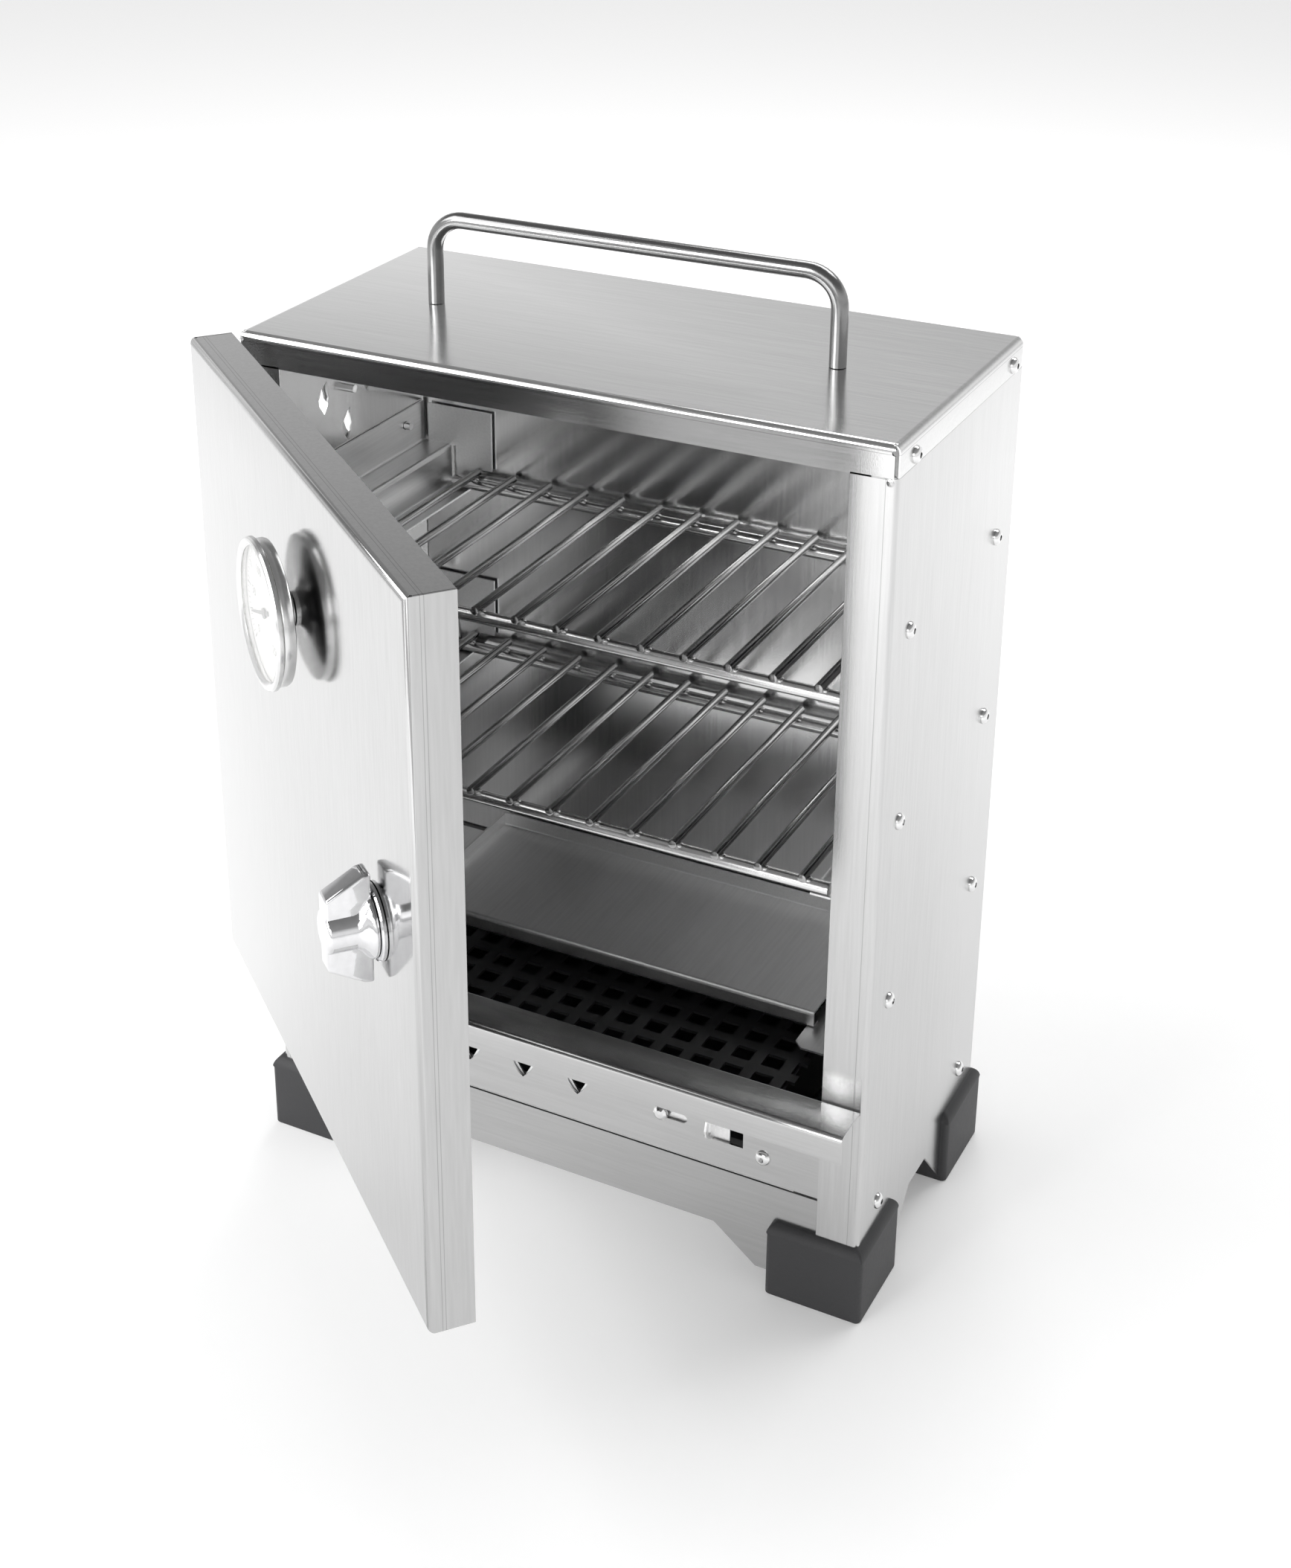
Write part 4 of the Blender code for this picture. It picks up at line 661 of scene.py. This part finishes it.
collar = turned("knob_collar", ((5.3, 2.3), (13.6, 2.3), (14.5, 2.1), (15.0, 1.5), (15.0, 0.3), (5.3, 0.3), (5.3, 2.3)))
done(out_of_door(collar, 248.5, 266), knob_chrome, "door", "knob_chrome", "latch_collar")
hub = turned("turn_knob", (
    (0, 20.4), (6.9, 20.4), (7.9, 20.1), (8.5, 19.5), (8.6, 18.6), (8.6, 9.6), (8.9, 8.5), (9.8, 7.2),
    (11.4, 5.9), (12.8, 4.7), (13.4, 3.9), (13.5, 3.2), (13.3, 2.6), (0, 2.6),
))
wings = prism(
    "knob_bar",
    [Vector((-4.75, y, z)) * mm for y, z in ((-23, 2.7), (23, 2.7), (22.6, 6.2), (14.8, 20.1), (-14.8, 20.1), (-22.6, 6.2))],
    Vector((9.5 * mm, 0, 0)),
)
rounded(wings, 1.1 * mm, 4, 25)
union = hub.modifiers.new("cast", "BOOLEAN")
union.operation = "UNION"
union.solver = "EXACT"
union.object = wings
apply_all(hub)
bpy.data.objects.remove(wings, do_unlink=True)
done(out_of_door(hub, 248.5, 266), knob_chrome, "latch", "knob_chrome", "latch_knob", smooth=40)


# ---------------------------------------------------------------- thermometer
# A round dial gauge stands off the door on its probe.  A polished ring with a coned inner edge holds the
# glass over a white card with fine marks.

gauge_steel = grained("gauge_steel", (0.7, 0.7, 0.7), 0.22, 1.0, (300, 300, 300), bump=0.02, spread=0.03)
dial_card = grained("dial_card", (0.9, 0.9, 0.87), 0.5, 0.0, (300, 300, 300), bump=0.02)
needle_black = grained("needle_black", (0.03, 0.03, 0.03), 0.4, 0.0, (300, 300, 300), bump=0.05)
gauge_glass = grained("gauge_glass", (1.0, 1.0, 1.0), 0.03, 0.0, (100, 100, 100), bump=0.0, spread=0.01)
gauge_glass.node_tree.nodes["Principled BSDF"].inputs["Transmission Weight"].default_value = 1.0
gauge_glass.node_tree.nodes["Principled BSDF"].inputs["IOR"].default_value = 1.45
finish_nodes(dial_card, "thermometer_dial")
finish_nodes(gauge_glass, "thermometer_glass")
finish_nodes(needle_black, "thermometer_pointer")
ring = turned("gauge_ring", (
    (27.1, 11.3), (26.8, 12.85), (28.0, 13.9), (28.9, 14.1), (29.8, 13.8), (30.4, 13.0), (30.5, 12.0),
    (30.5, 11.5), (28.6, 11.3), (27.1, 11.3),
), 96)
done(out_of_door(ring, 151.2, 350), gauge_steel, "door", "gauge_steel", "thermometer_bezel", smooth=30)
case = turned("gauge_case", (
    (28.3, 11.0), (29.0, 10.8), (29.3, 10.2), (29.3, 7.2), (28.9, 6.3), (27.4, 5.7), (14, 5.2), (9, 4.0), (7, 2.2),
    (7, 0.35), (4.4, 0.35), (4.4, 6.0), (27.0, 7.2), (28.3, 8.2), (28.3, 11.0),
), 96)
done(out_of_door(case, 151.2, 350), gauge_steel, "door", "gauge_steel", "thermometer_case", smooth=30)
marks = []
for number in range(51):
    around = math.radians(225 - 270 * number / 50)
    long_mark = number % 5 == 0
    inner, outer = (20.6 if long_mark else 22.4), 25.0
    half = 0.3 if long_mark else 0.14
    bar = box_bar("mark", Vector((inner, -half, 9.47)) * mm, Vector((outer, half, 9.56)) * mm)
    marks.append(placed(bar, (0, 0, around), (0, 0, 0)))
for number in range(6):
    around = math.radians(225 - 270 * number / 5)
    bpy.ops.object.select_all(action="DESELECT")
    bpy.ops.object.text_add(location=(0, 0, 0))
    figure = bpy.context.active_object
    figure.data.body = str(50 * number)
    figure.data.size = 5.2 * mm
    figure.data.align_x = "CENTER"
    figure.data.align_y = "CENTER"
    figure.data.extrude = 0.04 * mm
    bpy.ops.object.convert(target="MESH")
    place_at = Vector((16.6 * math.cos(around), 16.6 * math.sin(around), 9.52)) * mm
    marks.append(placed(bpy.context.active_object, (0, 0, 0), place_at))
dial_marks = joined(*marks)
dial_marks.name = "dial_marks"
done(out_of_door(dial_marks, 151.2, 350), needle_black, "door", "needle_black", smooth=0)


# ---------------------------------------------------------------- wire racks and handle
# Each rack is a row of thin bright rods lying on two thicker wires, spot-welded where they cross, the ends
# cut square.  The handle is one thicker rod bent twice and set into the top.

rod_steel = grained("rod_steel", (0.4, 0.4, 0.4), 0.17, 1.0, (200, 30, 200), smear=0.7, bump=0.06, spread=0.06)
wire_steel = grained("wire_steel", (0.74, 0.74, 0.74), 0.16, 1.0, (60, 400, 400), smear=0.9, bump=0.2, spread=0.08)
for name, rod_level, first_rod, wire_start, wire_end in (
    ("upper", 304.5, 34.5, 23.5, 285.5), ("lower", 215.0, 30.5, 19.5, 281.5),
):
    rods = round_bar(name + "_rack_rods", 2.0 * mm, at(first_rod, 3.2, rod_level), at(first_rod, 144.8, rod_level), 20)
    rounded(rods, 0.3 * mm, 2, 60)
    row = rods.modifiers.new("row", "ARRAY")
    row.use_relative_offset = False
    row.use_constant_offset = True
    row.constant_offset_displace = (20 * mm, 0, 0)
    row.count = 13
    apply_all(rods)
    done(rods, rod_steel, "cabinet", "rod_steel", name + "_rack")
    wires = []
    for y in (8, 140):
        wire = round_bar(name + "_rack_wires", 3.0 * mm, at(wire_start, y, rod_level - 4.6), at(wire_end, y, rod_level - 4.6), 24)
        wires.append(rounded(wire, 0.35 * mm, 2, 60))
        bpy.ops.object.select_all(action="DESELECT")
        bpy.ops.mesh.primitive_uv_sphere_add(
            segments=12, ring_count=8, radius=1.7 * mm, location=at(first_rod + 1.6, y - 0.6, rod_level - 1.8),
            scale=(1.1, 1.2, 0.6),
        )
        dab = bpy.context.active_object
        bpy.ops.object.transform_apply(location=True, rotation=True, scale=True)
        row = dab.modifiers.new("row", "ARRAY")
        row.use_relative_offset = False
        row.use_constant_offset = True
        row.constant_offset_displace = (20 * mm, 0, 0)
        row.count = 13
        wires.append(dab)
        apply_all(dab)
    joined(*wires)
    done(wires[0], wire_steel, "cabinet", "rod_steel")

handle = line_of("handle_rod", [at(56, 75, 415.3), at(56, 75, 454.5), at(249, 75, 454.5), at(249, 75, 415.3)])
bpy.ops.object.mode_set(mode="OBJECT")
pick(handle, "VERT", lambda place_of: place_of.z > 450 * mm)
bpy.ops.mesh.bevel(offset=14.5 * mm, offset_type="OFFSET", segments=10, profile=0.5, affect="VERTICES")
bpy.ops.object.mode_set(mode="OBJECT")
bpy.ops.object.convert(target="CURVE")
handle.data.bevel_depth = 3.68 * mm
handle.data.bevel_resolution = 6
handle.data.use_fill_caps = True
bpy.ops.object.convert(target="MESH")
handle = bpy.context.active_object
handle_steel = grained("handle_steel", (0.26, 0.26, 0.26), 0.2, 1.0, (30, 200, 200), smear=0.6, bump=0.05, spread=0.05)
done(handle, handle_steel, "cabinet", "rod_steel", "carry_handle", smooth=50)


# ---------------------------------------------------------------- screws
# Ten bright button-head screws hold each side to the rails and brackets inside; every head has a hex
# socket.  Two more hold the front plate.

screw_steel = grained("screw_steel", (0.82, 0.82, 0.82), 0.1, 1.0, (300, 300, 300), bump=0.03, spread=0.03)
finish_nodes(
    screw_steel, "slider_screw_1", "slider_screw_2", "damper_pivot", "hinge_lower_pin", "hinge_upper_pin",
)


def button_screw(name, rotation, place_at, *replaced):
    head = turned(name, (
        (0, 2.2), (1.6, 2.15), (2.5, 1.85), (3.2, 1.3), (3.62, 0.6), (3.7, 0.25), (3.7, 0.02), (1.9, 0.02),
        (1.9, -5.6), (0, -5.6),
    ), 28)
    socket = round_bar("socket_cut", 1.45 * mm, Vector((0, 0, 0.9)) * mm, Vector((0, 0, 4)) * mm, 6)
    cut_away(head, socket)
    placed(head, rotation, place_at)
    return done(head, screw_steel, "cabinet", "screw_steel", *replaced, smooth=30)


screw_places = [(17.6, 406), (135, 406), (22, 49.2), (128, 52), (22, 154.7), (128, 154.7), (22, 242.2), (128, 242.2),
                (22, 329.5), (128, 329.5)]
for number, (y, z) in enumerate(screw_places, 1):
    button_screw(f"right_side_screw_{number:02d}", (0, math.pi / 2, 0), at(305, y, z), f"right_screw_{number:02d}")
    button_screw(f"left_side_screw_{number:02d}", (0, -math.pi / 2, 0), at(0 if z > 400 else 1.3, y, z))
button_screw("front_screw_left", (math.pi / 2, 0, 0), at(46.3, 0, 70.5), "plate_screw_left")
button_screw("front_screw_right", (math.pi / 2, 0, 0), at(258.7, 0, 70.5), "plate_screw_right")


# ---------------------------------------------------------------- rubber boots
# Four moulded rubber boots are pushed over the legs.  Their upper edges are generously rounded and the
# rubber is matt with a fine grain.

boot_rubber = grained("boot_rubber", (0.03, 0.03, 0.032), 0.55, 0.0, (700, 700, 700), bump=0.5, spread=0.1)
for name, x, y in (
    ("boot_front_left", -3.6, -3.6), ("boot_front_right", 262.6, -3.6),
    ("boot_rear_left", -3.6, 107.6), ("boot_rear_right", 262.6, 107.6),
):
    boot = box_bar("moulded_" + name, at(x, y, 0), at(x + 46, y + 46, 39))
    pick(boot, "EDGE", lambda middle, way: middle.z > 38.9 * mm)
    bpy.ops.mesh.bevel(offset=6.5 * mm, offset_type="OFFSET", segments=8, profile=0.5, affect="EDGES")
    bpy.ops.object.mode_set(mode="OBJECT")
    pick(boot, "EDGE", lambda middle, way: abs(way.z) > 20 * mm)
    bpy.ops.mesh.bevel(offset=2.6 * mm, offset_type="OFFSET", segments=5, profile=0.5, affect="EDGES")
    bpy.ops.object.mode_set(mode="OBJECT")
    rounded(boot, 0.7 * mm, 3, 50)
    done(boot, boot_rubber, "cabinet", "boot_rubber", name)


# ---------------------------------------------------------------- fire grate and pan
# The grate is a black coated plate pierced with square holes, lying in a black fire pan behind the sill.

black_steel = grained("black_steel", (0.09, 0.09, 0.092), 0.34, 0.6, (300, 300, 300), smear=0.7, bump=0.2, spread=0.08)
finish_nodes(black_steel, "fire_grate", "fire_pan")


# ---------------------------------------------------------------- front plate
# One strip of sheet: the plate with the air holes, its top folded forward into the sill and down into a
# lip.  It laps over both stiles.  The holes are small flames with two lobes and a point below.

plate_sheet = grained("plate_sheet", (0.55, 0.55, 0.55), 0.2, 1.0, (30, 900, 900), bump=0.003)
plate = folded(
    "front_plate_strip",
    [at(2, 0.48, 58.0), at(2, 0.48, 110.0), at(2, -21.0, 110.0), at(2, -21.0, 97.5)],
    Vector((301.0 * mm, 0, 0)), 2.0 * mm, 0.94 * mm,
)
holes = []
for number in range(4):
    x = 80.4 + 28.5 * number
    flame = ((0, -9.5), (3.4, -5.8), (5.8, -1.5), (5.4, 2.4), (3.4, 4.9), (2.9, 9.5), (0.6, 6.2), (-0.9, 3.4),
             (-2.4, 5.4), (-2.6, 8.4), (-4.9, 4.6), (-5.9, 0.2), (-4.9, -4.4), (-2.6, -7.6))
    holes.append(prism("flame_cut", [at(x + u, -6, 82 + v) for u, v in flame], Vector((0, 12 * mm, 0))))
for x in (57.5, 208.6):
    slot_bar = box_bar("slot_cut", at(x, -6, 75.3), at(x + 13, 6, 79.7))
    pick(slot_bar, "EDGE", lambda middle, way: abs(way.y) > 5 * mm)
    bpy.ops.mesh.bevel(offset=2.1 * mm, offset_type="OFFSET", segments=6, profile=0.5, affect="EDGES")
    bpy.ops.object.mode_set(mode="OBJECT")
    holes.append(slot_bar)
holes.append(box_bar("fin_window_cut", at(230, -6, 72), at(249, 6, 90)))
cut_away(plate, *holes)
done(plate, plate_sheet, "cabinet", "cabinet_steel", "front_vent_plate")
